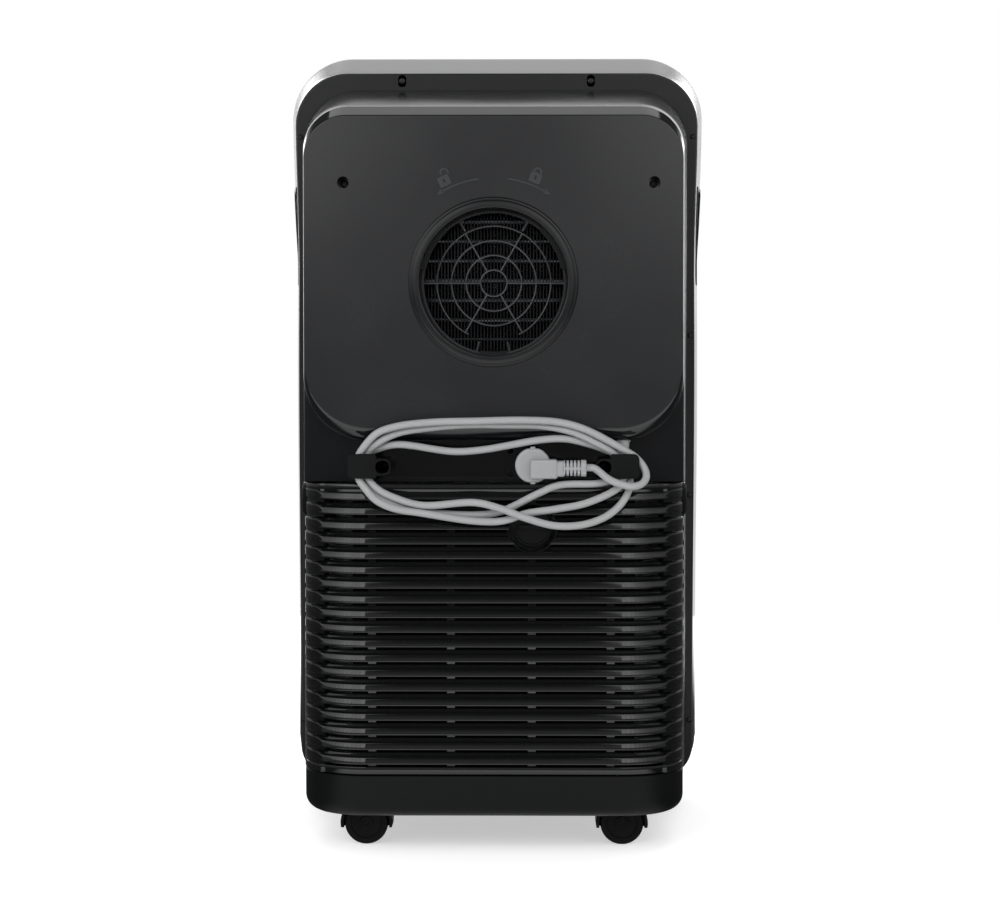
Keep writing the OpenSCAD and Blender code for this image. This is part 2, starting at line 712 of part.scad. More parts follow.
module condenser_fins() color("#5c6064") difference() {
    fins(290, 462, 700, 104, 24, 5);
    for (i = [0:10]) translate([0, coil_y, 483.9 + 20.5 * i]) rotate([0, 90, 0])
        cylinder(r = 4.3, h = 320, center = true);
}

// Straight tubes across the fins, joined in pairs by return bends
module condenser_tubes() color("#8d6e52") {
    for (i = [0:10]) translate([0, coil_y, 483.9 + 20.5 * i]) rotate([0, 90, 0])
        cylinder(r = 4, h = 300, center = true);
    for (i = [0:9]) translate([i % 2 == 0 ? 150 : -150, coil_y, 494.15 + 20.5 * i])
        rotate([90, i % 2 == 0 ? 0 : 180, 0]) rotate([0, 0, -90])
            rotate_extrude(angle = 180) translate([10.25, 0]) circle(r = 4);
}

module evaporator_coil() color("#5c6064") {
    fins(300, 200, 450, -172, 26, 6);
    for (s = [-1, 1]) box([s * 151.5 - 1.5, -172, 171], [s * 151.5 + 1.5, -146, 454]);
}

// ---------------------------------------------------------------- refrigeration

module partition() color("#9ea1a4") {
    difference() {
        union() {
            box([-200, part_back - 3, base_top + wall], [200, part_back, 735]);
            box([-187, part_back - 3, deck_top], [187, part_back, base_top + wall]);
            box([-165, -176, 168], [165, -20, 171]);
            box([-165, -176, 171], [165, -174, 186]);
        }
        rod_y(0, -30, rear_fan.z, 5, 30);
        rod_y(cap_x, -30, cap_z, 8, 30);
        rod_y(suction_hole.x, -30, suction_hole.z, 6, 30);
    }
}

compressor_place = [0, 50];
lift = deck_low - base_low;

module compressor() color("#202124") translate([compressor_place.x, compressor_place.y, lift]) {
    rotate_extrude() polygon(concat([[0, 62], [50, 62], [58, 70], [58, 200]],
        [for (a = [0:15:90]) [58 * cos(a), 200 + 30 * sin(a)]]));
    difference() {
        translate([0, 0, 56]) linear_extrude(4) offset_triangle(86);
        for (a = [90, 210, 330]) rotate([0, 0, a]) translate([74, 0, 50]) cylinder(r = 5, h = 20);
    }
    translate([0, 0, 58]) cylinder(r = 46, h = 8);
    box([-62, -5, 140], [-56, 5, 160]);
}

// Foot plate with three round ends
module offset_triangle(reach) {
    for (a = [90, 210, 330]) rotate([0, 0, a]) {
        translate([0, -16]) square([reach - 12, 32]);
        translate([reach - 12, 0]) circle(16);
    }
    circle(44);
}

module compressor_feet() color("#1a1a1b")
    for (a = [90, 210, 330]) translate([compressor_place.x, compressor_place.y, 0])
        rotate([0, 0, a]) translate([74, 0, deck_top]) {
            cylinder(r = 11, h = 13.4);
            cylinder(r = 4.8, h = 24);
            translate([0, 0, 17.4]) cylinder(r = 8, h = 3);
        }

module accumulator() color("#242528") translate([compressor_place.x - 84, compressor_place.y, lift])
    rotate_extrude() polygon([[0, 96], [12, 96], [22, 108], [22, 196], [12, 210], [0, 210]]);

// Points of a pipe whose corners are bent on a radius
function bent(points, r) = concat([points[0]], [for (i = [1:len(points) - 2])
    let (b = points[i], u = points[i - 1] - b, v = points[i + 1] - b,
        from = b + r * u / norm(u), to = b + r * v / norm(v))
    for (t = [0:0.25:1]) (1 - t) * (1 - t) * from + 2 * t * (1 - t) * b + t * t * to],
    [points[len(points) - 1]]);

module pipe(points, r, bend) let (route = bent(points, bend))
    skin([for (i = [0:len(route) - 1]) tube_ring(route, i, r, 10)]);

module discharge_pipe() color("#a86f45") pipe([
    [compressor_place.x + 20, compressor_place.y, 229 + lift],
    [compressor_place.x + 20, 50, 294],
    [174, 50, 330], [174, coil_y, 400], [174, coil_y, 688.9], [151, coil_y, 688.9]], 3.2, 20);

module suction_pipe() color("#a86f45") pipe([
    [compressor_place.x - 84, compressor_place.y, 210 + lift],
    [compressor_place.x - 84, compressor_place.y, 262],
    suction_hole + [0, 58, 0], suction_hole - [0, 142, 0], [-153.2, suction_hole.y - 142, 300]],
    4.5, 14);

suction_hole = [-174, -18, 300];

module control_box() color("#c9cbcc") difference() {
    box([-190, part_back, 120], [-110, 73, 240]);
    box([-187.5, part_back + 2.5, 122.5], [-112.5, 70.5, 241]);
}

module water_pump() color("#dadcdd") {
    box([-20, -112, deck_top], [20, -72, 92]);
    translate([0, -92, 86]) cylinder(r = 14, h = 26);
}

// ---------------------------------------------------------------- cord storage

// Hook: a U-shaped post on the floor of the cord pocket, and a plate that keeps the turns on
module hook(s) color("#1d1e20") difference() {
    union() {
        translate([s * (hook_x + hook_w / 2), hook_y - 3, hook_z + hook_h / 2])
            plate_y(hook_w, hook_h, 3, 4.5);
        translate([s * 114, pocket_y, hook_z + 11.5]) plate_y(20, 17, hook_y - pocket_y, 7);
    }
    translate([s * 112.6, pocket_y + 4, hook_z + 11.5]) plate_y(13.4, 12.6, 80, 5.4);
    translate([s * 106, hook_y - 12, hook_z + 11.5]) plate_y(20, 20, 20, 1);
    rod_y(s * 112.6, pocket_y - 2, hook_z + 11.5, 2.2, 20);
}

module screw(x, y, z, r, head) {
    rod_y(x, y - 10, z, r, 10);
    difference() {
        rod_y(x, y, z, head, 2.2);
        translate([x, y + 1.2, z]) plate_y(head * 1.2, 1, 2, 0.4);
        translate([x, y + 1.2, z]) plate_y(1, head * 1.2, 2, 0.4);
    }
}

module case_screws() color("#48494b") {
    for (p = cover_screws) screw(p.x, plateau_y - 22, p.y, 2.2, 4.2);
    for (x = [-105, 105]) screw(x, flange_y - 1.6, 815, 2.0, 3.8);
    for (s = [-1, 1], p = side_screws) screw(s * p.x, flange_y, p.y, 1.8, 2.9);
    for (s = [-1, 1]) screw(s * 112.6, pocket_y + 4, hook_z + 11.5, 2.1, 4);
}

module cord_gland() color("#8f9092") translate(gland) {
    translate([0, 0, -1.5]) cylinder(r = 7.6, h = 1.5);
    cylinder(r = 5.9, h = 6);
    translate([0, 0, -20]) cylinder(r1 = 4.9, r2 = 6.6, h = 19);
}

// The lead's own line, from the gland round both hooks three times to the plug
cord_route = [
    [-132, 168, 402], [-132, 168, 398], [-131, 173.5, 389.5], [-123, 183, 383],
    [-107, 189.5, 379], [-66, 191, 377], [-46, 191, 369], [-6, 190, 350], [20, 190, 347],
    [78, 189.5, 351], [102, 190, 358], [119, 188.5, 366], [131, 185.3, 377.6], [136.5, 181.8, 384.5],
    [137.5, 177.5, 394], [132, 176.5, 406], [117.5, 180.3, 413.5], [98, 184, 418], [40, 185, 411],
    [10, 187, 413], [-48, 189.5, 423], [-72, 189.5, 424], [-92, 186, 420], [-110, 181, 414],
    [-126, 178.5, 406], [-134, 180.5, 393], [-138.5, 187, 379], [-132, 190.5, 362],
    [-116, 194, 347], [-92, 199, 338], [-62, 204, 337], [-32, 206, 345], [-8, 205, 354],
    [18, 201, 360], [72, 196, 357], [97, 195, 363.5], [117, 192, 373], [128, 187.5, 385],
    [131.5, 184.7, 397], [127.5, 186, 410], [114.5, 189, 421.5], [96, 189.5, 430],
    [66, 189.5, 435], [30, 189.5, 438], [-10, 189.5, 438], [-50, 190, 437], [-80, 193, 431],
    [-102, 191.5, 421], [-121.5, 188, 409.5], [-130, 188, 397.5], [-131.5, 190, 386],
    [-127.5, 191.5, 376], [-96, 196, 360], [-64, 198, 353.5], [-34, 198, 349], [-10, 198, 341.5],
    [16, 198, 341], [74, 198, 349.5], [101, 197.5, 354], [119, 196, 362.5], [130, 194.2, 374.5],
    [135.5, 191.1, 382], [138, 191, 391], [137.5, 191, 404], [130, 191.5, 417], [117, 194.5, 430],
    [96, 197, 437], [60, 197, 441], [20, 197, 442], [-30, 197.5, 443], [-66, 198, 441],
    [-92, 197.5, 434], [-131, 190.8, 413.5], [-144, 190.5, 405], [-152, 191, 395.5],
    [-154.5, 195, 387], [-151, 200, 380], [-141, 203.5, 376.5], [-126, 204.5, 379.5],
    [-116, 203, 384], [-102.5, 194, 394.2], [-98.5, 193, 395], [-94, 193, 395]
];

// Rings of the tube: each stands square to the line between its neighbours
function direction(p, i) = let (d = p[min(i + 1, len(p) - 1)] - p[max(i - 1, 0)]) d / norm(d);
function carried(p, i) = i == 0 ? [1, 0, 0]
    : let (u = carried(p, i - 1), t = direction(p, i), v = u - (u * t) * t) v / norm(v);
function tube_ring(p, i, r, sides) = let (t = direction(p, i), u = carried(p, i), w = cross(t, u))
    [for (k = [0:sides - 1]) p[i] + r * (u * cos(360 * k / sides) + w * sin(360 * k / sides))];

module power_cord() color("#b4b5b6")
    skin([for (i = [0:len(cord_route) - 1]) tube_ring(cord_route, i, cord_d / 2, 8)]);

// Angled two-pin plug: round face, block with the lead at its side, earth contacts as nubs
module plug() color("#b9babb") translate(plug_c) {
    rod_y(0, 0, 0, plug_d / 2, 12);
    box([-24, 2, -11.5], [2, 23, 6.5]);
    box([-31.5, 4.5, -10], [-23.5, 21.5, 5]);
    for (s = [-1, 1]) {
        box([-2.4, 1, s > 0 ? 16 : -19], [2.4, 11, s > 0 ? 19 : -16]);
        rod_y(s * 9.5, -17, 0, 2.4, 17.5);
    }
}

// Ribbed strain relief between the plug and the lead
module cord_boot() color("#b2b3b4") translate([boot_x, plug_c.y + 15, plug_c.z - 2]) {
    translate([-18, 0, 0]) rotate([0, 90, 0]) linear_extrude(17.5) rounded(12, 12, 5);
    for (i = [0:4]) translate([-2.6 - 3.4 * i, 0, 0]) rotate([0, 90, 0])
        linear_extrude(1.8) rounded(15, 14, 6);
    translate([-23, 0, 0]) rotate([0, 90, 0]) linear_extrude(5) rounded(14.4, 13.6, 6);
}

// ---------------------------------------------------------------- nodes

base_tray();
rear_cover();
front_frame();
front_fascia();
control_panel();
display_window();
hand_grips();
outlet_ring();
outlet_guard();
condenser_fins();
condenser_tubes();
evaporator_coil();
rear_fan_housing();
rear_fan_motor();
front_fan_housing();
front_fan_motor();
partition();
compressor();
accumulator();
compressor_feet();
discharge_pipe();
suction_pipe();
control_box();
water_pump();
drain_spigot();
air_filter();
hook(1);  // hook_left
hook(-1);  // hook_right
cord_gland();
power_cord();
plug();
cord_boot();
case_screws();
rear_grille();
drain_cap();
flap();
for (i = [0:vane_count - 1]) vane(i);
vane_link();
rear_fan_wheel();
front_fan_wheel();
for (i = [0:key_count - 1]) key(i);
caster(caster_places()[0], 1);  // caster_rear_left
caster(caster_places()[1], -1);  // caster_rear_right
caster(caster_places()[2], 1);  // caster_front_left
caster(caster_places()[3], -1);  // caster_front_right
wheel(caster_places()[0], 1, 1);  // wheel_rear_left_a
wheel(caster_places()[0], 1, -1);  // wheel_rear_left_b
wheel(caster_places()[1], -1, 1);  // wheel_rear_right_a
wheel(caster_places()[1], -1, -1);  // wheel_rear_right_b
wheel(caster_places()[2], 1, 1);  // wheel_front_left_a
wheel(caster_places()[2], 1, -1);  // wheel_front_left_b
wheel(caster_places()[3], -1, 1);  // wheel_front_right_a
wheel(caster_places()[3], -1, -1);  // wheel_front_right_b
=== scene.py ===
"""Portable air conditioner on casters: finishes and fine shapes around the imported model.

Lengths are millimetres until a mesh is made, and MM turns them to metres. The hose outlet, the
louvred air intake and the wound mains lead face +Y, and the control panel faces -Y.
"""
import json
import math

import bmesh
import bpy
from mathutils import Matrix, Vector


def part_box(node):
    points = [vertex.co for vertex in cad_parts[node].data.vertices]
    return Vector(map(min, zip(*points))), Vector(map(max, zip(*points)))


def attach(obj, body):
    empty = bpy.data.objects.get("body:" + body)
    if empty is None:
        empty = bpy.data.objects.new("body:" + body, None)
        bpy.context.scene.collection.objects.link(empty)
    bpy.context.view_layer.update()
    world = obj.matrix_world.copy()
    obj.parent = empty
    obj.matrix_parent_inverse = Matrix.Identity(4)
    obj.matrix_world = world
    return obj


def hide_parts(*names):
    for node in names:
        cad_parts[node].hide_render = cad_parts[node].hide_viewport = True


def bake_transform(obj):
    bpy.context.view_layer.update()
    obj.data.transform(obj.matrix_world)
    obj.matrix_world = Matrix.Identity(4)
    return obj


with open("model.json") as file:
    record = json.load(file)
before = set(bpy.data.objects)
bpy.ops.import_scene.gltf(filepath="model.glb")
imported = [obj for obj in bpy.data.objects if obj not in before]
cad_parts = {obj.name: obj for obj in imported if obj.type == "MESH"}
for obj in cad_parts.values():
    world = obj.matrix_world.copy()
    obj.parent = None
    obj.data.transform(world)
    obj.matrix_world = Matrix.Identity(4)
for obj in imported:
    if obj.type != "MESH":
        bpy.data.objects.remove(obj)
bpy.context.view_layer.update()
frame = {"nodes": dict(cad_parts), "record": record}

MM = 0.001


def span(node):
    """Lowest and highest corners of a CAD node, in millimetres."""
    low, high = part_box(node)
    return Vector(low) / MM, Vector(high) / MM


BODY_OF = {node: body for body, nodes in frame["record"]["behaviour"]["bodies"].items()
           for node in nodes}


# ---------------------------------------------------------------- camera

camera = bpy.data.objects.new("camera", bpy.data.cameras.new("camera"))
camera.data.sensor_width = 36
camera.data.lens = 85.3
camera.data.clip_end = 50  # metres
camera.location = (-0.0335, 2.585, 0.494)
camera.rotation_euler = (math.radians(87.9), 0, math.radians(180.64))
bpy.context.scene.collection.objects.link(camera)
bpy.context.scene.camera = camera
bpy.context.scene.view_settings.view_transform = "Standard"


# ---------------------------------------------------------------- mesh helpers

def keep(name, mesh, material, body, replaces=()):
    """Links a finished mesh as a piece that rides on a body, if one is named."""
    piece = bpy.data.objects.new(name, mesh)
    bpy.context.scene.collection.objects.link(piece)
    mesh.materials.clear()
    mesh.materials.append(material)
    if body:
        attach(piece, body)
    if replaces:
        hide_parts(*replaces)
    return piece


def stand_in(node, name, mesh, material):
    """A piece in place of a CAD node, on that node's body, in the material it is given."""
    return keep(name, mesh, material, BODY_OF[node], [node])


def second_material(piece, material, chosen):
    """Gives a second material to the faces that chosen picks."""
    piece.data.materials.append(material)
    for face in piece.data.polygons:
        if chosen(face):
            face.material_index = 1


def mesh_of(points, faces):
    """A mesh from points in millimetres."""
    mesh = bpy.data.meshes.new("shape")
    mesh.from_pydata([Vector(p) * MM for p in points], [], faces)
    mesh.validate()
    return mesh


def skin(rings, closed):
    """Points and faces of a solid through rings of points that all have the same count."""
    n = len(rings[0])
    points = [p for ring in rings for p in ring]
    faces = []
    last = len(rings) if closed else len(rings) - 1
    for k in range(last):
        a, b = k * n, (k + 1) % len(rings) * n
        faces += [(a + i, a + (i + 1) % n, b + (i + 1) % n, b + i) for i in range(n)]
    if not closed:
        faces += [tuple(range(n - 1, -1, -1)), tuple(range(len(points) - n, len(points)))]
    return points, faces


def outward(mesh):
    """Turns the faces of a closed mesh outwards."""
    work = bmesh.new()
    work.from_mesh(mesh)
    bmesh.ops.remove_doubles(work, verts=work.verts, dist=1e-7)
    bmesh.ops.recalc_face_normals(work, faces=work.faces)
    work.to_mesh(mesh)
    work.free()
    return mesh


def solid(rings, closed=False):
    return outward(mesh_of(*skin(rings, closed)))


def joined(meshes):
    """One mesh that holds several."""
    work = bmesh.new()
    for mesh in meshes:
        work.from_mesh(mesh)
    result = bpy.data.meshes.new("joined")
    work.to_mesh(result)
    work.free()
    return result


def evaluated(mesh, *modifiers):
    """The mesh after the modifiers, each given as (kind, settings)."""
    carrier = bpy.data.objects.new("carrier", mesh)
    bpy.context.scene.collection.objects.link(carrier)
    for kind, settings in modifiers:
        modifier = carrier.modifiers.new(kind.lower(), kind)
        for key, value in settings.items():
            setattr(modifier, key, value)
    graph = bpy.context.evaluated_depsgraph_get()
    result = bpy.data.meshes.new_from_object(carrier.evaluated_get(graph))
    bpy.data.objects.remove(carrier)
    return result


def cut(mesh, tools, operation="DIFFERENCE"):
    """The mesh after an exact boolean with each tool in turn."""
    for tool in tools:
        other = bpy.data.objects.new("tool", tool)
        bpy.context.scene.collection.objects.link(other)
        mesh = evaluated(mesh, ("BOOLEAN", {"operation": operation, "object": other,
                                            "solver": "EXACT"}))
        bpy.data.objects.remove(other)
    return mesh


def smooth(mesh, angle=30):
    """Smooth shading that breaks at edges sharper than the angle."""
    work = bmesh.new()
    work.from_mesh(mesh)
    limit = math.radians(angle)
    for face in work.faces:
        face.smooth = True
    for edge in work.edges:
        edge.smooth = len(edge.link_faces) == 2 and edge.calc_face_angle(0) < limit
    work.to_mesh(mesh)
    work.free()
    return mesh


def flattened(mesh, angle, weight=90):
    """Smooth shading in which large flat faces stay flat up to their rounded edges."""
    return evaluated(smooth(mesh, angle),
                     ("WEIGHTED_NORMAL", {"keep_sharp": True, "weight": weight}))


def eased(mesh, width, angle=30):
    """Edges sharper than the angle get a small moulded radius."""
    mesh = evaluated(mesh, ("BEVEL", {"width": width * MM, "segments": 2,
                                      "limit_method": "ANGLE",
                                      "angle_limit": math.radians(angle),
                                      "use_clamp_overlap": True}))
    return flattened(mesh, 50, 80)


def welded(node):
    """A copy of a CAD node's mesh with its triangles joined and flat areas merged."""
    work = bmesh.new()
    work.from_mesh(frame["nodes"][node].data)
    bmesh.ops.remove_doubles(work, verts=work.verts, dist=2e-6)
    bmesh.ops.dissolve_limit(work, angle_limit=math.radians(0.4), verts=work.verts,
                             edges=work.edges)
    mesh = bpy.data.meshes.new(node)
    work.to_mesh(mesh)
    work.free()
    return mesh


def dress(node, material, radius):
    """A piece with the CAD node's own form and small edge radii, in its place."""
    mesh = eased(welded(node), radius) if radius else smooth(welded(node))
    return stand_in(node, node + "_finish", mesh, material)


def quarter(x, z, radius, start, steps):
    """Points of a quarter circle round (x, z) from an angle in degrees."""
    return [(x + radius * math.cos(math.radians(start + 90 * i / steps)),
             z + radius * math.sin(math.radians(start + 90 * i / steps)))
            for i in range(steps + 1)]


def round_outline(half, low, high, low_r, high_r, steps):
    """Rounded rectangle of (x, z) centred on x 0, with its own radius at the foot and the top."""
    return (quarter(half - low_r, low + low_r, low_r, 270, steps)
            + quarter(half - high_r, high - high_r, high_r, 0, steps)
            + quarter(high_r - half, high - high_r, high_r, 90, steps)
            + quarter(low_r - half, low + low_r, low_r, 180, steps))


def at_y(outline, y):
    return [(x, y, z) for x, z in outline]


def plate(outline, low_y, high_y):
    """Solid with the same outline in X and Z at two depths."""
    return solid([at_y(outline, low_y), at_y(outline, high_y)])


def revolve_y(profile, centre, steps=96):
    """Closed solid of revolution about the Y axis through a centre (x, z): (radius, y) points."""
    rings = []
    for i in range(steps):
        a = 2 * math.pi * i / steps
        rings.append([(centre[0] + r * math.cos(a), y, centre[1] + r * math.sin(a))
                      for r, y in profile])
    return solid(rings, closed=True)


def rod(start, end, radius, steps=48):
    """Closed cylinder between two points."""
    start, end = Vector(start), Vector(end)
    turn = (end - start).to_track_quat("Z", "Y")
    circle = [turn @ Vector((radius * math.cos(2 * math.pi * i / steps),
                             radius * math.sin(2 * math.pi * i / steps), 0))
              for i in range(steps)]
    return solid([[start + c for c in circle], [end + c for c in circle]])


def rod_y(x, z, low_y, high_y, radius, steps=48):
    return rod((x, low_y, z), (x, high_y, z), radius, steps)


def block(corner, opposite):
    """Box between two opposite corners, given in any order."""
    (x0, x1), (y0, y1), (z0, z1) = (sorted(pair) for pair in zip(corner, opposite))
    return solid([[(x0, y0, z0), (x1, y0, z0), (x1, y1, z0), (x0, y1, z0)],
                  [(x0, y0, z1), (x1, y0, z1), (x1, y1, z1), (x0, y1, z1)]])


# ---------------------------------------------------------------- materials

def linear(colour):
    """Linear RGBA of an sRGB hex colour such as #2e2f31."""
    values = [int(colour[i:i + 2], 16) / 255 for i in (1, 3, 5)]
    return [v / 12.92 if v <= 0.04045 else ((v + 0.055) / 1.055) ** 2.4 for v in values] + [1]


def add(tree, kind, inputs=None, **settings):
    """Adds a node, sets its values and links what feeds it."""
    node = tree.nodes.new(kind)
    for key, value in settings.items():
        setattr(node, key, value)
    for key, value in (inputs or {}).items():
        if isinstance(value, bpy.types.NodeSocket):
            tree.links.new(value, node.inputs[key])
        else:
            node.inputs[key].default_value = value
    return node


def math_node(tree, operation, a, b=None):
    """The result of an operation on one or two values or sockets."""
    inputs = {0: a} if b is None else {0: a, 1: b}
    return add(tree, "ShaderNodeMath", inputs, operation=operation).outputs[0]


def ramp(tree, value, low, high, start=0.0, end=1.0):
    """Smooth run from start to end while a value goes from low to high."""
    return add(tree, "ShaderNodeMapRange", {"Value": value, "From Min": low, "From Max": high,
                                            "To Min": start, "To Max": end},
               interpolation_type="SMOOTHSTEP").outputs["Result"]


def finish(name, colours, roughness, cloud, grain, depth, metallic=0.0, specular=0.5, **sockets):
    """A surface with a slow drift of colour and gloss and a fine grain.

    colours and roughness are the two ends of the drift. cloud and grain are the sizes of the drift
    and the grain, and depth is the height of the grain, all in millimetres.
    """
    material = bpy.data.materials.new(name)
    material.use_nodes = True
    tree = material.node_tree
    tree.nodes.clear()
    place = add(tree, "ShaderNodeTexCoord").outputs["Object"]
    drift = add(tree, "ShaderNodeTexNoise", {"Vector": place, "Scale": 1 / (cloud * MM),
                                             "Detail": 3.0, "Roughness": 0.55})
    speck = add(tree, "ShaderNodeTexNoise", {"Vector": place, "Scale": 1 / (grain * MM),
                                             "Detail": 2.0, "Roughness": 0.6})
    tint = add(tree, "ShaderNodeMix", {0: drift.outputs["Fac"], 6: linear(colours[0]),
                                       7: linear(colours[1])}, data_type="RGBA")
    gloss = add(tree, "ShaderNodeMapRange", {"Value": drift.outputs["Fac"], "From Min": 0.3,
                                             "From Max": 0.7, "To Min": roughness[0],
                                             "To Max": roughness[1]})
    bump = add(tree, "ShaderNodeBump", {"Height": speck.outputs["Fac"], "Strength": 1.0,
                                        "Distance": depth * MM})
    shader = add(tree, "ShaderNodeBsdfPrincipled", {
        "Base Color": tint.outputs[2], "Roughness": gloss.outputs["Result"],
        "Normal": bump.outputs["Normal"], "Metallic": metallic, "IOR": 1.5,
        "Specular IOR Level": specular, **sockets})
    add(tree, "ShaderNodeOutputMaterial", {"Surface": shader.outputs["BSDF"]})
    return material


# Injection-moulded ABS with a fine spark-eroded skin: an even, dark, half-matt face. Its grain of
# 0.1 mm is drawn at 0.9 mm so that it shows.
cover_abs = finish("grained_abs_cover", ("#17181a", "#1b1c1e"), (0.23, 0.28), 120, 0.9, 0.006)
# The outlet's collar has the same grain from a duller tool
collar_abs = finish("grained_abs_collar", ("#0f1012", "#131416"), (0.28, 0.34), 60, 0.9, 0.004,
                    specular=0.3)
# The cover's bevel, its walls and the bay below come from a polished part of the mould. Their
# colour is drawn darker than the face as painted shade, above all for the bay recessed under the
# raised face
polished_abs_painted_shade = finish("polished_abs_cover_painted_shade", ("#101113", "#141517"), (0.1, 0.14), 150, 0.9, 0.001)
# Etched patches of the mould: the raised signs are duller than the face round them
sign_abs = finish("etched_abs_signs", ("#242528", "#2a2b2e"), (0.42, 0.5), 20, 0.5, 0.012)
# The same ABS from a smoother mould, for the wide front frame
frame_abs = finish("satin_abs_frame", ("#131416", "#17181a"), (0.1, 0.14), 150, 0.8, 0.004)
# The frame's rear flange is etched, so it stays evenly dark
flange_abs = finish("etched_abs_flange", ("#101113", "#131416"), (0.36, 0.44), 80, 0.7, 0.006,
                    specular=0.3)
# Polished-tool ABS of the louvres: darker, with long soft reflections
grille_abs = finish("polished_abs_louvres", ("#0a0b0c", "#0e0f10"), (0.05, 0.075), 90, 1.2, 0.001)
# Glass-filled polypropylene of the tray and the hooks: duller, faintly mottled
tray_pp = finish("filled_pp_tray", ("#0b0c0d", "#101112"), (0.34, 0.44), 60, 0.8, 0.008,
                 specular=0.12)
# Glossy black polyamide of the finger guard, whose thin wires catch the light
guard_pa = finish("glossy_pa_guard", ("#2c2d2f", "#333436"), (0.2, 0.28), 20, 0.6, 0.003)
# Nylon of the casters, dry and slightly grey where it rubs
caster_nylon = finish("nylon_caster", ("#050606", "#090a0a"), (0.38, 0.5), 25, 0.5, 0.006,
                      specular=0.1)
# Polyurethane tread: dull, with fine dust
tread_pu = finish("polyurethane_tread", ("#060707", "#0b0b0c"), (0.5, 0.65), 18, 0.4, 0.01,
                  specular=0.12)
# Soft PVC of the lead: pale grey, faintly waxy
lead_pvc = finish("soft_pvc_lead", ("#a1a2a3", "#aaabac"), (0.38, 0.46), 35, 0.5, 0.006,
                  **{"Subsurface Weight": 0.05, "Subsurface Radius": (0.004, 0.004, 0.004)})
# Harder PVC of the plug, moulded over its pins
plug_pvc = finish("moulded_pvc_plug", ("#9d9ea0", "#a4a5a7"), (0.3, 0.38), 30, 0.4, 0.005)
# Nickel-plated brass of the plug's pins
pin_nickel = finish("nickel_plated_brass", ("#b9b6ae", "#c6c3bb"), (0.18, 0.28), 12, 0.3, 0.002,
                    metallic=1.0)
# Black-oxide steel of the screws: dark, oily, brighter on the worn cross
screw_steel = finish("black_oxide_steel", ("#2b2b2c", "#3d3d3e"), (0.3, 0.42), 4, 0.3, 0.003,
                     metallic=1.0)
# Thin aluminium fins, dulled by their clear coat
fin_aluminium = finish("coated_aluminium_fins", ("#2b2c2e", "#3c3d3f"), (0.16, 0.26), 20, 0.6,
                       0.004, metallic=1.0)
# Hard-drawn copper of the refrigerant pipes, browned by brazing
pipe_copper = finish("drawn_copper", ("#8a5636", "#b0744c"), (0.25, 0.4), 15, 0.5, 0.004,
                     metallic=1.0)
# Hot-dip galvanised sheet with its soft spangle
galvanised = finish("galvanised_sheet", ("#8d9092", "#a3a6a8"), (0.32, 0.46), 14, 0.8, 0.004,
                    metallic=1.0)
# Grey polypropylene of the fan housings and fans
fan_pp = finish("natural_pp_fan", ("#707274", "#7c7e80"), (0.4, 0.5), 50, 0.7, 0.006)
# Black enamel baked on the pressed-steel compressor
compressor_enamel = finish("baked_enamel", ("#101112", "#17181a"), (0.22, 0.32), 30, 1.0, 0.006)
# Pressed-steel motor can
motor_steel = finish("zinc_plated_can", ("#7c7e80", "#8e9092"), (0.3, 0.42), 20, 0.6, 0.003,
                     metallic=1.0)
# Moulded rubber of the compressor's feet
foot_rubber = finish("moulded_rubber", ("#0f0f10", "#171718"), (0.6, 0.75), 10, 0.4, 0.01)
# Pale polypropylene of the condensate pump
pump_pp = finish("pale_pp_pump", ("#c6c8c9", "#d0d2d3"), (0.36, 0.46), 25, 0.5, 0.005)
# Polished acrylic over the display and the control panel
panel_acrylic = finish("polished_acrylic", ("#060607", "#090a0b"), (0.06, 0.1), 80, 2.0, 0.0005,
                       **{"Coat Weight": 0.5, "Coat Roughness": 0.04})
# Satin keys of the control panel
key_abs = finish("satin_abs_key", ("#3f4042", "#464749"), (0.3, 0.38), 15, 0.3, 0.004)
# Printed marks on the keys
mark_ink = finish("white_print", ("#c9cacb", "#d2d3d4"), (0.4, 0.5), 4, 0.2, 0.001)
# Fine polyester mesh of the air filter in its frame
filter_mesh = finish("polyester_mesh", ("#060607", "#0b0b0c"), (0.6, 0.75), 6, 1.2, 0.12,
                     specular=0.1)


# ---------------------------------------------------------------- mains lead

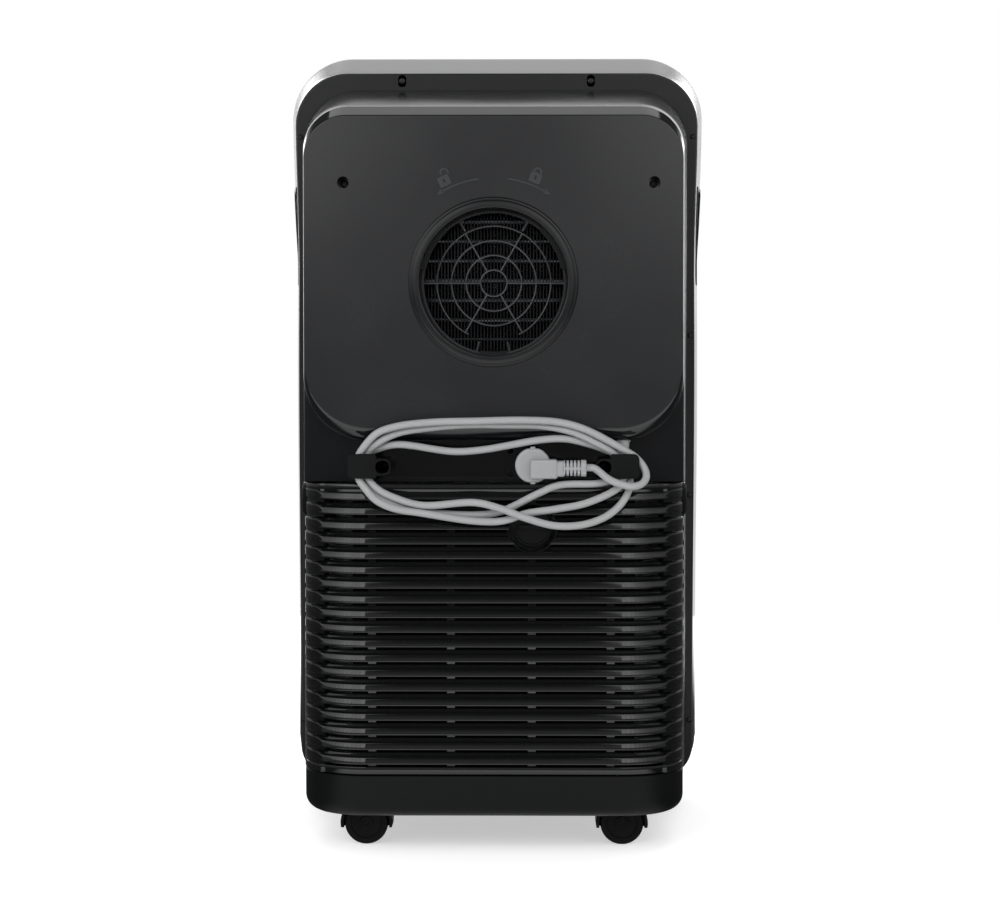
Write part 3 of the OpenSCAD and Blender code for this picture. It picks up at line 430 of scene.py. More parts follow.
LEAD_RADIUS = 3.75
LEAD_ROUTE = [
    (-132, 168, 402), (-132, 168, 398), (-131, 173.5, 389.5), (-123, 183, 383),
    (-107, 189.5, 379), (-66, 191, 377), (-46, 191, 369), (-6, 190, 350), (20, 190, 347),
    (78, 189.5, 351), (102, 190, 358), (119, 188.5, 366), (131, 185.3, 377.6),
    (136.5, 181.8, 384.5), (137.5, 177.5, 394), (132, 176.5, 406), (117.5, 180.3, 413.5),
    (98, 184, 418), (40, 185, 411), (10, 187, 413), (-48, 189.5, 423), (-72, 189.5, 424),
    (-92, 186, 420), (-110, 181, 414), (-126, 178.5, 406), (-134, 180.5, 393),
    (-138.5, 187, 379), (-132, 190.5, 362), (-116, 194, 347), (-92, 199, 338), (-62, 204, 337),
    (-32, 206, 345), (-8, 205, 354), (18, 201, 360), (72, 196, 357), (97, 195, 363.5),
    (117, 192, 373), (128, 187.5, 385), (131.5, 184.7, 397), (127.5, 186, 410),
    (114.5, 189, 421.5), (96, 189.5, 430), (66, 189.5, 435), (30, 189.5, 438), (-10, 189.5, 438),
    (-50, 190, 437), (-80, 193, 431), (-102, 191.5, 421), (-121.5, 188, 409.5),
    (-130, 188, 397.5), (-131.5, 190, 386), (-127.5, 191.5, 376), (-96, 196, 360),
    (-64, 198, 353.5), (-34, 198, 349), (-10, 198, 341.5), (16, 198, 341), (74, 198, 349.5),
    (101, 197.5, 354), (119, 196, 362.5), (130, 194.2, 374.5), (135.5, 191.1, 382),
    (138, 191, 391), (137.5, 191, 404), (130, 191.5, 417), (117, 194.5, 430), (96, 197, 437),
    (60, 197, 441), (20, 197, 442), (-30, 197.5, 443), (-66, 198, 441), (-92, 197.5, 434),
    (-131, 190.8, 413.5), (-144, 190.5, 405), (-152, 191, 395.5), (-154.5, 195, 387),
    (-151, 200, 380), (-141, 203.5, 376.5), (-126, 204.5, 379.5), (-116, 203, 384),
    (-102.5, 194, 394.2), (-98.5, 193, 395), (-94, 193, 395),
]


def catmull(p, knots, t):
    """Barry and Goldman's recursion for one span of a centripetal Catmull-Rom line."""
    level = list(p)
    for depth in (1, 2, 3):
        # The second level spans two knots on the outside and the third only the middle one
        width = (1, 2, 1)[depth - 1]
        shift = (0, 0, 1)[depth - 1]
        level = [((knots[i + shift + width] - t) * level[i] + (t - knots[i + shift]) * level[i + 1])
                 / (knots[i + shift + width] - knots[i + shift]) for i in range(len(level) - 1)]
    return level[0]


def curved(route, step):
    """A smooth line through the points of a route, with points about step apart."""
    p = [Vector(q) for q in route]
    p = [2 * p[0] - p[1]] + p + [2 * p[-1] - p[-2]]
    line = []
    for i in range(1, len(p) - 2):
        knots = [0.0]
        for a, b in zip(p[i - 1:i + 2], p[i:i + 3]):
            knots.append(knots[-1] + (b - a).length ** 0.5)
        count = max(2, round((p[i + 1] - p[i]).length / step))
        line += [catmull(p[i - 1:i + 3], knots, knots[1] + (knots[2] - knots[1]) * j / count)
                 for j in range(count)]
    return line + [p[-2]]


def tube(line, radius, sides):
    """Closed tube round a line, its rings carried along without twist."""
    rings = []
    side = Vector((0, 1, 0))
    for i, point in enumerate(line):
        along = (line[min(i + 1, len(line) - 1)] - line[max(i - 1, 0)]).normalized()
        side = (side - side.dot(along) * along).normalized()
        other = along.cross(side)
        rings.append([point + radius * (side * math.cos(2 * math.pi * k / sides)
                                        + other * math.sin(2 * math.pi * k / sides))
                      for k in range(sides)])
    return solid(rings)


lead_line = curved(LEAD_ROUTE, 3.0)
lead = keep("mains_lead", smooth(tube(lead_line, LEAD_RADIUS, 14), 60), lead_pvc, None,
            ["power_cord"])


# ---------------------------------------------------------------- Geometry Nodes helpers

SOCKETS = {int: "NodeSocketInt", float: "NodeSocketFloat"}


def repeated(name, sizes, build, material, base=None):
    """A mesh made by a node tree whose inputs are named sizes.

    build gets the tree and a dictionary of its input sockets, and returns the geometry socket.
    """
    tree = bpy.data.node_groups.new(name, "GeometryNodeTree")
    face = tree.interface
    face.new_socket("Geometry", in_out="INPUT", socket_type="NodeSocketGeometry")
    names = {key: face.new_socket(key, in_out="INPUT", socket_type=SOCKETS[type(value)])
             for key, value in sizes.items()}
    face.new_socket("Geometry", in_out="OUTPUT", socket_type="NodeSocketGeometry")
    entry = add(tree, "NodeGroupInput")
    shape = build(tree, {socket.name: socket for socket in entry.outputs if socket.name})
    real = add(tree, "GeometryNodeRealizeInstances", {0: shape})
    faced = add(tree, "GeometryNodeSetMaterial", {0: real.outputs[0], "Material": material})
    leave = add(tree, "NodeGroupOutput")
    tree.links.new(faced.outputs[0], leave.inputs[0])
    carrier = bpy.data.objects.new(name, base or bpy.data.meshes.new(name))
    bpy.context.scene.collection.objects.link(carrier)
    modifier = carrier.modifiers.new(name, "NODES")
    modifier.node_group = tree
    for key, value in sizes.items():
        modifier[names[key].identifier] = value
    graph = bpy.context.evaluated_depsgraph_get()
    mesh = bpy.data.meshes.new_from_object(carrier.evaluated_get(graph))
    bpy.data.objects.remove(carrier)
    return mesh


def row(axis):
    """Builder: the base mesh repeated along an axis, with inputs Count, Pitch and Start."""
    def build(tree, size):
        def along(value):
            return add(tree, "ShaderNodeCombineXYZ", {axis: value}).outputs[0]
        line = add(tree, "GeometryNodeMeshLine", {"Count": size["Count"],
                                                  "Start Location": along(size["Start"]),
                                                  "Offset": along(size["Pitch"])})
        return add(tree, "GeometryNodeInstanceOnPoints", {
            "Points": line.outputs[0], "Instance": size["Geometry"]}).outputs[0]
    return build


# ---------------------------------------------------------------- rear cover

# Depths of the raised upper face, of the cord bay, of the flange and of the step at the grille
PLATEAU_Y, BAY_Y, FLANGE_Y, RETURN_Y = 185, 157, -65, 118
# Half-width at the upper face and at the flange, height at the upper face and rise to the flange
COVER_HALF, COVER_FRONT_HALF, COVER_TOP, COVER_RISE = 192.5, 212.5, 758.4, 46.6
# Corner radius at the upper face, its gain towards the flange, and the raised face's own radii
COVER_R, COVER_R_GAIN, PLATEAU_TOP_R, PLATEAU_FOOT_R = 48, 10, 46, 65
# Heights of the cover's foot, of its seam over the grille and of the raised face's foot
COVER_LOW, SEAM, PLATEAU_LOW = 80, 379.5, 422
WALL = 2.6
POCKET_Y, POCKET_HALF, POCKET_R = 137, 128, 8
OUTLET_Z, COLLAR_R = 582.5, 83.2
ACROSS = 250  # well past both sides, for tools that cut right across
COVER_SCREWS = [(152, 683), (-162.6, 683)]
HOOK_SCREWS = [(-112.6, 395.5), (112.6, 395.5)]


def toward_front(y):
    return (PLATEAU_Y - y) / (PLATEAU_Y - FLANGE_Y)


def cover_half(y):
    return COVER_HALF + (COVER_FRONT_HALF - COVER_HALF) * toward_front(y)


def cover_high(y):
    return COVER_TOP + COVER_RISE * toward_front(y)


def cover_ring(y, inset, steps=16):
    return at_y(round_outline(cover_half(y) - inset, COVER_LOW - 1, cover_high(y) - inset, 0.6,
                              COVER_R + COVER_R_GAIN * toward_front(y) - inset, steps), y)


def plateau_ring(y, top, side, low, proud, steps=16):
    """Outline of the upper rear face, drawn in by different amounts at its top, sides and foot."""
    return at_y(round_outline(cover_half(y) - side + proud, PLATEAU_LOW + low,
                              cover_high(y) - top + proud, PLATEAU_FOOT_R,
                              PLATEAU_TOP_R - top * 0.5, steps), y)


def round_over(count):
    """Sine and cosine terms of a quarter round, from the face to the side."""
    return [(1 - math.sin(a), 1 - math.cos(a))
            for a in (math.pi / 2 * (1 - i / count) for i in range(count + 1))]


# Depth below the upper face, and how far the bevel draws in its top and its sides
BEVEL = [(0, 9.0, 1.5), (0.1, 8.4, 1.05), (0.35, 7.9, 0.8), (0.8, 7.5, 0.6), (4.5, 5.05, 0.4),
         (8.5, 2.43, 0.2), (11.9, 0.2, 0.05), (12.2, 0.05, 0.02), (12.6, 0, 0), (13.4, 0, 0)]
# Depth and height of the rounder lower edge
LOWER_DEEP, LOWER_TALL = 13, 14


def lower_round(depth):
    """How far the lower edge is drawn up at a depth below the upper face."""
    u = 1 - min(depth, LOWER_DEEP) / LOWER_DEEP
    return LOWER_TALL * (1 - math.sqrt(1 - u * u))


def pocket_block(grow, low_y, high_y):
    """The cord pocket's form, larger all round by grow."""
    return plate(round_outline(POCKET_HALF + grow, SEAM + WALL - grow, PLATEAU_LOW - 1 + grow,
                               POCKET_R + grow, POCKET_R + grow, 8), low_y, high_y)


def make_rear_cover():
    shell = solid([cover_ring(BAY_Y - 6 * s, 6 * c) for s, c in round_over(8)]
                  + [cover_ring(y, 0) for y in (120, 60, 0, FLANGE_Y)])
    step = solid([plateau_ring(PLATEAU_Y - d, top, side, lower_round(d), 0.02)
                  for d, top, side in BEVEL] + [plateau_ring(BAY_Y - 10, 0, 0, 0, 0.02)])
    shell = cut(shell, [step], "UNION")
    inside = solid([cover_ring(BAY_Y - WALL, WALL + 1, 8), cover_ring(FLANGE_Y - 1, WALL, 8)])
    upper = solid([plateau_ring(PLATEAU_Y - WALL, 11.5, 5, 17, 0, 8),
                   plateau_ring(PLATEAU_Y - 14, 4, WALL, 6, 0, 8),
                   plateau_ring(BAY_Y - 12, WALL + 0.4, WALL, WALL + 1, 0, 8)])
    inside = cut(inside, [upper], "UNION")
    boxed = cut(pocket_block(WALL, POCKET_Y - WALL, BAY_Y - 1), [
        block((-150, POCKET_Y - 10, 370), (150, POCKET_Y + 80, 430))], "INTERSECT")
    ledge = block((-200, RETURN_Y - 4, SEAM), (200, BAY_Y, SEAM + WALL))
    inside = cut(inside, [boxed, ledge] + [rod_y(x, z, 155, 195, 9) for x, z in COVER_SCREWS])
    gland_x, gland_y, _ = LEAD_ROUTE[0]
    tools = [inside, block((-ACROSS, RETURN_Y, COVER_LOW - 10), (ACROSS, PLATEAU_Y + 20, SEAM)),
             block((-ACROSS, FLANGE_Y - 2, COVER_LOW - 10), (ACROSS, PLATEAU_Y, COVER_LOW)),
             pocket_block(0, POCKET_Y, BAY_Y + 10),
             rod_y(0, OUTLET_Z, 125, 205, COLLAR_R, 128),
             rod((gland_x, gland_y, PLATEAU_LOW - 5), (gland_x, gland_y, PLATEAU_LOW + 7), 6)]
    for x, z in COVER_SCREWS:
        tools += [rod_y(x, z, 163, 203, 6), rod_y(x, z, 145, 205, 2.3, 16)]
    tools += [rod_y(x, z, POCKET_Y - 10, POCKET_Y + 10, 2.2, 16) for x, z in HOOK_SCREWS]
    # Two small holes in the back wall of the cord pocket
    tools += [rod_y(-17, z, POCKET_Y - 20, POCKET_Y + 20, 3.0, 24) for z in (386, 410)]
    shell = cut(shell, tools)
    rims = []
    edge = cover_half(RETURN_Y) - 1
    for side in (-1, 1):
        rims.append(block((180 * side, RETURN_Y - 4, COVER_LOW),
                          (edge * side, RETURN_Y - 1.4, SEAM)))
        strip = [(187 * side, FLANGE_Y), ((cover_half(FLANGE_Y) - 1) * side, FLANGE_Y),
                 (edge * side, RETURN_Y - 2), (187 * side, RETURN_Y - 2)]
        rims.append(solid([[(x, y, z) for x, y in strip] for z in (COVER_LOW, COVER_LOW + WALL)]))
    return flattened(joined([shell] + rims), 32)


# Faces off the raised face, and all those behind it with the bay, take the darker polished
# material: its darker colour is painted shade
second_material(stand_in("rear_cover", "rear_cover_moulding", make_rear_cover(), cover_abs),
                polished_abs_painted_shade,
                lambda face: face.normal.y < 0.97 or face.center.y < (PLATEAU_Y - 1) * MM)


# ---------------------------------------------------------------- front frame and fascia

RIDGE_Y, PART_Y, FRAME_WALL = -145, -160, 3
# y, low half-width, top half-width, low, top, low corner, top corner
FRAME_RINGS = [(FLANGE_Y, 219.5, 223.7, 36, 823.4, 36, 58), (RIDGE_Y, 228, 234.5, 30, 850, 40, 70),
               (PART_Y, 227, 233.5, 31, 847, 40, 69), (-170, 224, 230.5, 34, 828.4, 40, 66),
               (-180, 219.5, 226, 38, 809.9, 39, 62), (-188, 213.5, 220, 44, 795, 38, 56),
               (-194, 205.5, 212, 52, 781, 36, 50), (-198, 192.5, 198.5, 64, 768, 34, 42)]


def blend_step(t):
    """Smooth step from 0 to 1 as t goes from 0 to 1."""
    u = max(0.0, min(1.0, t))
    return u * u * (3 - 2 * u)


def spread(z):
    """How far the side has moved out from its low width to its top width at a height."""
    wave = 1.2 + 0.9 * math.cos(math.pi * (min(z, 775) - 480) / 300)
    return (wave + 6.2 * blend_step((z - 600) / 175)) / 6.5


def frame_ring(y, inset=0.0, steps=18):
    """The frame's outline at a depth, between the two rings of the table next to it."""
    k = max(i for i in range(len(FRAME_RINGS) - 1) if i == 0 or y <= FRAME_RINGS[i][0])
    a, b = FRAME_RINGS[k], FRAME_RINGS[k + 1]
    t = (y - a[0]) / (b[0] - a[0])
    v = [p + (q - p) * t for p, q in zip(a, b)]
    low_w, top_w, low, top = v[1] - inset, v[2] - inset, v[3] + inset, v[4] - inset
    low_r, top_r = v[5] - inset, v[6] - inset
    side = [(low_w + (top_w - low_w) * spread(z), z) for z in
            (low + low_r + 4 + (top - top_r - low - low_r - 6) * i / 27 for i in range(28))]
    outline = (quarter(low_w - low_r, low + low_r, low_r, 270, steps) + side
               + quarter(top_w - top_r, top - top_r, top_r, 0, steps)
               + quarter(top_r - top_w, top - top_r, top_r, 90, steps)
               + [(-x, z) for x, z in reversed(side)]
               + quarter(low_r - low_w, low + low_r, low_r, 180, steps))
    return at_y(outline, y)


FLANGE_SCREWS, FLANGE_SINK_Y, TRAY_WALL_Y = [(-105, 815), (105, 815)], -66.6, -141
SIDE_SCREWS = [(side * x, z) for side in (-1, 1)
               for x, z in ((216.2, 101), (216.2, 354), (216.2, 532), (218.5, 753))]


def make_front_frame():
    edge = [(0, 1.2), (0.5, 0.4), (1.5, 0), (20, 0), (40, 0), (60, 0), (73, 0), (77, 0.1),
            (80, 0.4), (83, 0.4), (86, 0.1), (94.2, 0), (95, 0.6)]
    body = solid([frame_ring(FLANGE_Y - d, inset) for d, inset in edge])
    inside = solid([frame_ring(y, FRAME_WALL) for y in (FLANGE_Y - 3, RIDGE_Y, PART_Y - 1)])
    mouth = plate(round_outline(204, 70, 782, 2, 54, 16), FLANGE_Y + 5, FLANGE_Y - 5)
    tray_room = block((-197.4, TRAY_WALL_Y, 20), (197.4, FLANGE_Y + 2, COVER_LOW))
    tools = [inside, mouth, tray_room]
    for x, z in FLANGE_SCREWS:
        pocket = [(x + u, z + v) for u, v in round_outline(4.5, -7, 7, 4.4, 4.4, 8)]
        tools += [plate(pocket, FLANGE_SINK_Y, -60), rod_y(x, z, -77, -57, 2.1, 16)]
    tools += [rod_y(x, z, -77, -57, 1.9, 16) for x, z in SIDE_SCREWS]
    # Openings of the lifting recesses
    tools += [block((205 * side, -140, 590), (240 * side, -92, 700)) for side in (-1, 1)]
    bosses = [cut(rod_y(x, z, -72, FLANGE_SINK_Y, 6.5), [rod_y(x, z, -74, -60, 2.1)])
              for x, z in FLANGE_SCREWS]
    walls = [block((side * 199 - 1.4, TRAY_WALL_Y, 32), (side * 199 + 1.4, FLANGE_Y - 1, 84))
             for side in (-1, 1)]
    walls.append(block((-197, TRAY_WALL_Y - 2.5, 33), (197, TRAY_WALL_Y, 84)))
    return flattened(joined([cut(body, tools)] + bosses + walls), 32)


second_material(stand_in("front_frame", "front_frame_moulding", make_front_frame(), frame_abs),
                flange_abs, lambda face: face.normal.y > 0.9)

# The control panel leans back by this angle about its middle
SLOPE_TILT, SLOPE_Y, SLOPE_Z = math.atan2(28, 52), -174, 821


def on_slope(p):
    """From the plane of the control panel (X across, -Y outwards, Z up the slope)."""
    x, y, z = p
    c, s = math.cos(SLOPE_TILT), math.sin(SLOPE_TILT)
    return (x, SLOPE_Y + c * y + s * z, SLOPE_Z - s * y + c * z)


def sloped(outline, low, high):
    """Solid with an outline in the plane of the control panel, between two depths."""
    return solid([[on_slope((x, low, z)) for x, z in outline],
                  [on_slope((x, high, z)) for x, z in outline]])


def centred(half_w, half_h, radius):
    return round_outline(half_w, -half_h, half_h, radius, radius, 8)


INTAKE_COUNT, INTAKE_PITCH, INTAKE_LOW = 16, 16, 200
VANE_COUNT, VANE_PITCH = 4, 66


def make_front_fascia():
    ys = [PART_Y, -161, -165, -170, -175, -180, -184, -188, -191, -194, -196, -197.4, -198]
    insets = {PART_Y: 0.6, -197.4: 0.4, -198: 1.6}
    body = solid([frame_ring(y, insets.get(y, 0.0)) for y in ys])
    inside = solid([frame_ring(y, FRAME_WALL, 8) for y in (-159, -170, -180, -188, -192, -195)])
    throat = block((-153, -197, 654), (153, -150, 750))
    body = cut(cut(body, [inside]), [throat, sloped(centred(127.4, 23.4, 6), 0.5, 8.5)], "UNION")
    slot = block((-150, -201, -1.9), (150, -193, 1.9))
    slots = repeated("intake_slots", {"Count": INTAKE_COUNT, "Pitch": INTAKE_PITCH * MM,
                                      "Start": INTAKE_LOW * MM}, row("Z"), frame_abs, slot)
    tools = [block((-150, -200, 657), (150, -149, 747)), slots,
             sloped(centred(125.2, 21.2, 6), -4, 6), sloped(centred(117, 13, 6), 4, 14),
             rod((-152.5, -194, 664), (152.5, -194, 664), 2.5, 24)]
    for i in range(VANE_COUNT):
        x = VANE_PITCH * (i - (VANE_COUNT - 1) / 2)
        tools.append(rod((x, -168, 649), (x, -168, 769), 2, 16))
    return flattened(cut(body, tools), 32)


stand_in("front_fascia", "front_panel_moulding", make_front_fascia(), frame_abs)


# ---------------------------------------------------------------- louvred grille

# How far the grille's back lies inside its outer face, radius of its corners and half-width
GRILLE_IN, GRILLE_R, GRILLE_HALF = 9.5, 66, 197
SLOT_Z, SLOT_PITCH, SLOT_COUNT = 90, 15, 19
GRILLE_LOW, GRILLE_TOP = 80.6, 377.5
CAP_X, CAP_Z, CAP_HOLE_R = -39.5, 333, 24
# Degrees round the corner at which the louvres run out into their pads
PAD_TURN = 41.2


def grille_point(station, out, z):
    """A place on the wrapped wall: out is measured from its inner face, station from its middle."""
    side, kind, value = station
    if kind == "flat":
        return (side * value, PLATEAU_Y - GRILLE_IN + out, z)
    if kind == "corner":
        a = math.radians(value)
        r = GRILLE_R - GRILLE_IN + out
        return (side * (GRILLE_HALF - GRILLE_R + r * math.sin(a)),
                PLATEAU_Y - GRILLE_R + r * math.cos(a), z)
    return (side * (GRILLE_HALF - GRILLE_IN + out), value, z)


def turned(station):
    """How far round the corner a station is, in degrees."""
    return {"flat": 0.0, "corner": station[2], "side": 90.0}[station[1]]


def side_stations(side, start):
    """Stations from an angle on the corner round to the end of the side wall."""
    fine = [38, 39.5, 41, 42, 43, 44, 45, 46.5, 48, 50, 53, 57, 61, 66, 72, 78, 84, 90]
    coarse = [0, 3, 6, 10, 15, 20, 25, 30, 34]
    return ([(side, "corner", v) for v in coarse + fine if v >= start]
            + [(side, "side", 118.7), (side, "side", 118.3)])


# A station just inside each corner keeps the flat faces flat in their shading
FLAT_END = GRILLE_HALF - GRILLE_R - 0.8
WHOLE_WALL = (list(reversed(side_stations(-1, 0)))
              + [(-1, "flat", FLAT_END), (1, "flat", 0), (1, "flat", FLAT_END)]
              + side_stations(1, 0))


def groove(station):
    """Depth of the closed groove between two louvres, which runs out towards the sides."""
    t = max(0.0, min(1.0, (turned(station) - 44) / 46))
    return 2.2 - 1.6 * blend_step(t)


# Distance out and height above the slot of a louvre: a proud lip, its face and the ledge above
LOUVRE = [(8.3, 1.5), (9.0, 1.55), (9.4, 1.85), (9.5, 2.3), (9.45, 3.0), (9.2, 4.2), (8.9, 5.4),
          (8.55, 6.6), (8.2, 7.8), (7.9, 8.5), (7.5, 8.9), (6.8, 9.35), (6.0, 10.3), (5.2, 11.5),
          (4.7, 12.6), (4.4, 13.1), (4.1, 13.5)]


def louvre_section(station):
    """Louvre in the middle of the wall, and a crowned pad flush with the corner beyond it."""
    a = turned(station)
    points = [(0.0, 1.5)]
    for out, z in LOUVRE:
        across = (z - 6.9) / 5.6
        pad = GRILLE_IN - groove(station) * min(1.0, abs(across) ** 10)
        t = blend_step((a - PAD_TURN - 6.5 * across * across) / 4.5)
        points.append((out + (pad - out) * t, z))
    return points + [(0.0, 13.5)]


def wall_solid(stations, section):
    return solid([[grille_point(s, out, z) for out, z in section(s)] for s in stations])


def tab_mesh(side):
    """Finger tab at the top of a side, from how far it stands out at each height."""
    rings = []
    for z, out in ((342, 0.2), (344, 2.0), (346, 3.2), (349, 4.0), (370, 4.0), (374, 3.4),
                   (376.5, 2.2), (377.5, 1.0)):
        plan = [(-1.5, 119), (-1.5, 130), (0.4 * out, 129), (out, 126), (out, 122),
                (0.6 * out, 121)]
        rings.append([(side * (GRILLE_HALF - 1 + u), y, z) for u, y in plan])
    return solid(rings)


def make_grille():
    sizes = {"Count": SLOT_COUNT, "Pitch": SLOT_PITCH * MM, "Start": SLOT_Z * MM}
    louvres = repeated("louvres", sizes, row("Z"), grille_abs,
                       wall_solid(WHOLE_WALL, louvre_section))
    louvres = cut(louvres, [rod_y(CAP_X, CAP_Z, 155, 215, CAP_HOLE_R, 96)])
    fillers = joined([wall_solid(side_stations(side, 42),
                                 lambda s: [(0, -1.6), (GRILLE_IN - groove(s), -1.6),
                                            (GRILLE_IN - groove(s), 1.6), (0, 1.6)])
                      for side in (-1, 1)])
    fillers = repeated("groove_floors", sizes, row("Z"), grille_abs, fillers)

    def rail(low, high, lip):
        def section(s):
            t = blend_step((turned(s) - 41) / 6)
            out = lip + (GRILLE_IN - 0.2 - lip) * t
            return [(0, low), (out - 0.7, low), (out - 0.2, low + 0.2), (out, low + 0.7),
                    (out, high - 0.7), (out - 0.2, high - 0.2), (out - 0.7, high), (0, high)]
        return wall_solid(WHOLE_WALL, section)

    rails = [rail(GRILLE_LOW, SLOT_Z - 1.5, 6.5), rail(369.4, GRILLE_TOP, 6.6)]
    ribs = [block((x - 4, 172, GRILLE_LOW + 1), (x + 4, 176.4, GRILLE_TOP - 1))
            for x in (-119.5, -39, 43.5, 124)]
    ribs = cut(joined(ribs), [rod_y(CAP_X, CAP_Z, 155, 215, CAP_HOLE_R + 0.5, 96)])
    collar = revolve_y([(23.6, 175), (26, 175), (26, 182.8), (25.6, 183.2), (24.0, 183.2),
                        (23.6, 182.8)], (CAP_X, CAP_Z))
    mesh = joined([louvres, fillers, ribs, collar, tab_mesh(-1), tab_mesh(1)] + rails)
    return smooth(mesh, 42)


stand_in("rear_grille", "rear_louvred_grille", make_grille(), grille_abs)


# ---------------------------------------------------------------- hose outlet and its guard

def outlet_band(r0, r1, low, high, start, end):
    """Part of a ring about the outlet's axis between two angles, with rounded edges and ends."""
    radius = 0.8
    rings = []
    n = max(8, int((end - start) / 1.5))
    for i in range(n + 1):
        a = math.radians(start + (end - start) * i / n)
        run = min(i, n - i) / n * math.radians(end - start) * r1
        near = min(1.0, run / 3)
        inner = r1 - (r1 - r0) * math.sqrt(max(0.0, 1 - (1 - near) ** 2)) if near < 1 else r0
        inner = min(inner, r1 - 0.4)
        rings.append([(r * math.cos(a), y, OUTLET_Z + r * math.sin(a))
                      for r, y in ((r1, low), (inner + radius * 0.4, low), (inner, low + radius),
                                   (inner, high - radius), (inner + radius * 0.4, high),
                                   (r1, high))])
    return solid(rings)


def make_outlet_ring():
    ring = revolve_y([(75, 171.4), (75, 187.1), (75.25, 187.8), (75.9, 188.15), (76.8, 188.2),
                      (79.5, 188.0), (81.6, 187.6), (82.5, 187.2), (82.9, 186.7), (83.2, 186.6),
                      (84.3, 186.7), (85.2, 186.4), (85.8, 185.8), (86, 185.1), (86, 184.9),
                      (83, 184.9), (83, 149), (74.4, 149), (74, 149.4), (74, 155), (79, 155),
                      (79, 171), (75.4, 171)], (0, OUTLET_Z), 160)
    lugs = [outlet_band(69.8, 75.6, 165, 168, a, b) for a, b in ((131, 170), (10, 49), (258, 282))]
    return smooth(joined([ring] + lugs), 38)


stand_in("outlet_ring", "outlet_collar", make_outlet_ring(), collar_abs)

# Depth of the guard, radius of its wire, radius of its first ring and step to the next
GUARD_Y, GUARD_WIRE, GUARD_FIRST, GUARD_STEP = 152, 1.15, 13.5, 15


def guard_rings(tree, size):
    """Whole rings whose radii grow by Step from First, bent from round wire of radius Wire."""
    line = add(tree, "GeometryNodeMeshLine", {"Count": size["Count"], "Offset": (0, 0, 0)})
    index = add(tree, "GeometryNodeInputIndex").outputs[0]
    radius = math_node(tree, "ADD", size["First"], math_node(tree, "MULTIPLY", index, size["Step"]))
    circle = add(tree, "GeometryNodeCurvePrimitiveCircle", {"Resolution": 96, "Radius": 1.0})
    turn = add(tree, "FunctionNodeEulerToRotation", {0: (math.pi / 2, 0, 0)})
    rings = add(tree, "GeometryNodeInstanceOnPoints", {
        "Points": line.outputs[0], "Instance": circle.outputs[0], "Rotation": turn.outputs[0],
        "Scale": add(tree, "ShaderNodeCombineXYZ", {0: radius, 1: radius, 2: radius}).outputs[0]})
    wire = add(tree, "GeometryNodeCurvePrimitiveCircle", {"Resolution": 10,
                                                          "Radius": size["Wire"]})
    bent = add(tree, "GeometryNodeCurveToMesh", {
        "Curve": add(tree, "GeometryNodeRealizeInstances", {0: rings.outputs[0]}).outputs[0],
        "Profile Curve": wire.outputs[0]})
    return add(tree, "GeometryNodeTransform", {
        "Geometry": bent.outputs[0],
        "Translation": (0, GUARD_Y * MM, OUTLET_Z * MM)}).outputs[0]


def make_guard():
    def place(radius, angle, back=0.0):
        a = math.radians(angle)
        return Vector((radius * math.cos(a), GUARD_Y - back, OUTLET_Z + radius * math.sin(a)))
    rings = repeated("guard_rings", {"Count": 3, "First": GUARD_FIRST * MM,
                                     "Step": GUARD_STEP * MM, "Wire": GUARD_WIRE * MM},
                     guard_rings, guard_pa)
    open_ring = tube([place(58.5, 296 + 308 * i / 96) for i in range(97)], GUARD_WIRE, 10)
    wires = [tube([place(GUARD_FIRST, a), place((GUARD_FIRST + r) / 2, a), place(r, a)],
                  GUARD_WIRE, 10)
             for a, r in ((0, 72.5), (180, 72.5), (60, 59), (120, 59), (240, 58.5), (300, 58.5))]
    stubs = [tube([place(r, a, 0.6), place(66, a, 0.8), place(73, a, 0.8)], 1.7, 10)
             for a, r in ((0, 60.5), (180, 60.5), (61, 60.5), (119, 60.5), (257, 61.5),
                          (284, 61.5))]
    rim = revolve_y([(71.6, 150.9), (73.9, 150.9), (73.9, 153.1), (71.6, 153.1)],
                    (0, OUTLET_Z), 128)
    return smooth(joined([rings, open_ring, rim] + wires + stubs), 40)


stand_in("outlet_guard", "outlet_finger_guard", make_guard(), guard_pa)


# ---------------------------------------------------------------- condenser

TUBE_Y, TUBE_ROWS, TUBE_LOW, TUBE_PITCH, TUBE_R = 120, 11, 483.9, 20.5, 4
FIN_COUNT, FIN_PITCH = 85, 3.4


def tube_row(name, material, half, radius):
    """One straight rod for each tube of the coil."""
    return repeated(name, {"Count": TUBE_ROWS, "Pitch": TUBE_PITCH * MM, "Start": TUBE_LOW * MM},
                    row("Z"), material, rod((-half, TUBE_Y, 0), (half, TUBE_Y, 0), radius, 16))


def make_fins():
    """Sheet fins of the condenser, drawn thick enough to show, with the collars on its tubes."""
    fin = block((-0.6, 104.5, 462.5), (0.6, 127.5, 699.5))
    fins = repeated("condenser_fins", {"Count": FIN_COUNT, "Pitch": FIN_PITCH * MM,
                                       "Start": -FIN_PITCH * (FIN_COUNT - 1) / 2 * MM},
                    row("X"), fin_aluminium, fin)
    plates = [block((x - 0.75, 104, 462), (x + 0.75, 128, 700)) for x in (-144.25, 144.25)]
    return joined([fins, tube_row("fin_collars", fin_aluminium, 143, TUBE_R + 0.25)] + plates)


stand_in("condenser_fins", "condenser_fin_pack", make_fins(), fin_aluminium)


def make_tubes():
    tubes = tube_row("condenser_tubes", pipe_copper, 149, TUBE_R)
    bends = []
    for i in range(TUBE_ROWS - 1):
        side = 1 if i % 2 == 0 else -1
        mid = TUBE_LOW + TUBE_PITCH * (i + 0.5)
        line = [Vector((side * (149 + TUBE_PITCH / 2 * math.sin(math.pi * k / 12) * 0.95), TUBE_Y,
                        mid - TUBE_PITCH / 2 * math.cos(math.pi * k / 12))) for k in range(13)]
        bends.append(tube(line, TUBE_R, 16))
    return smooth(joined([tubes] + bends), 50)


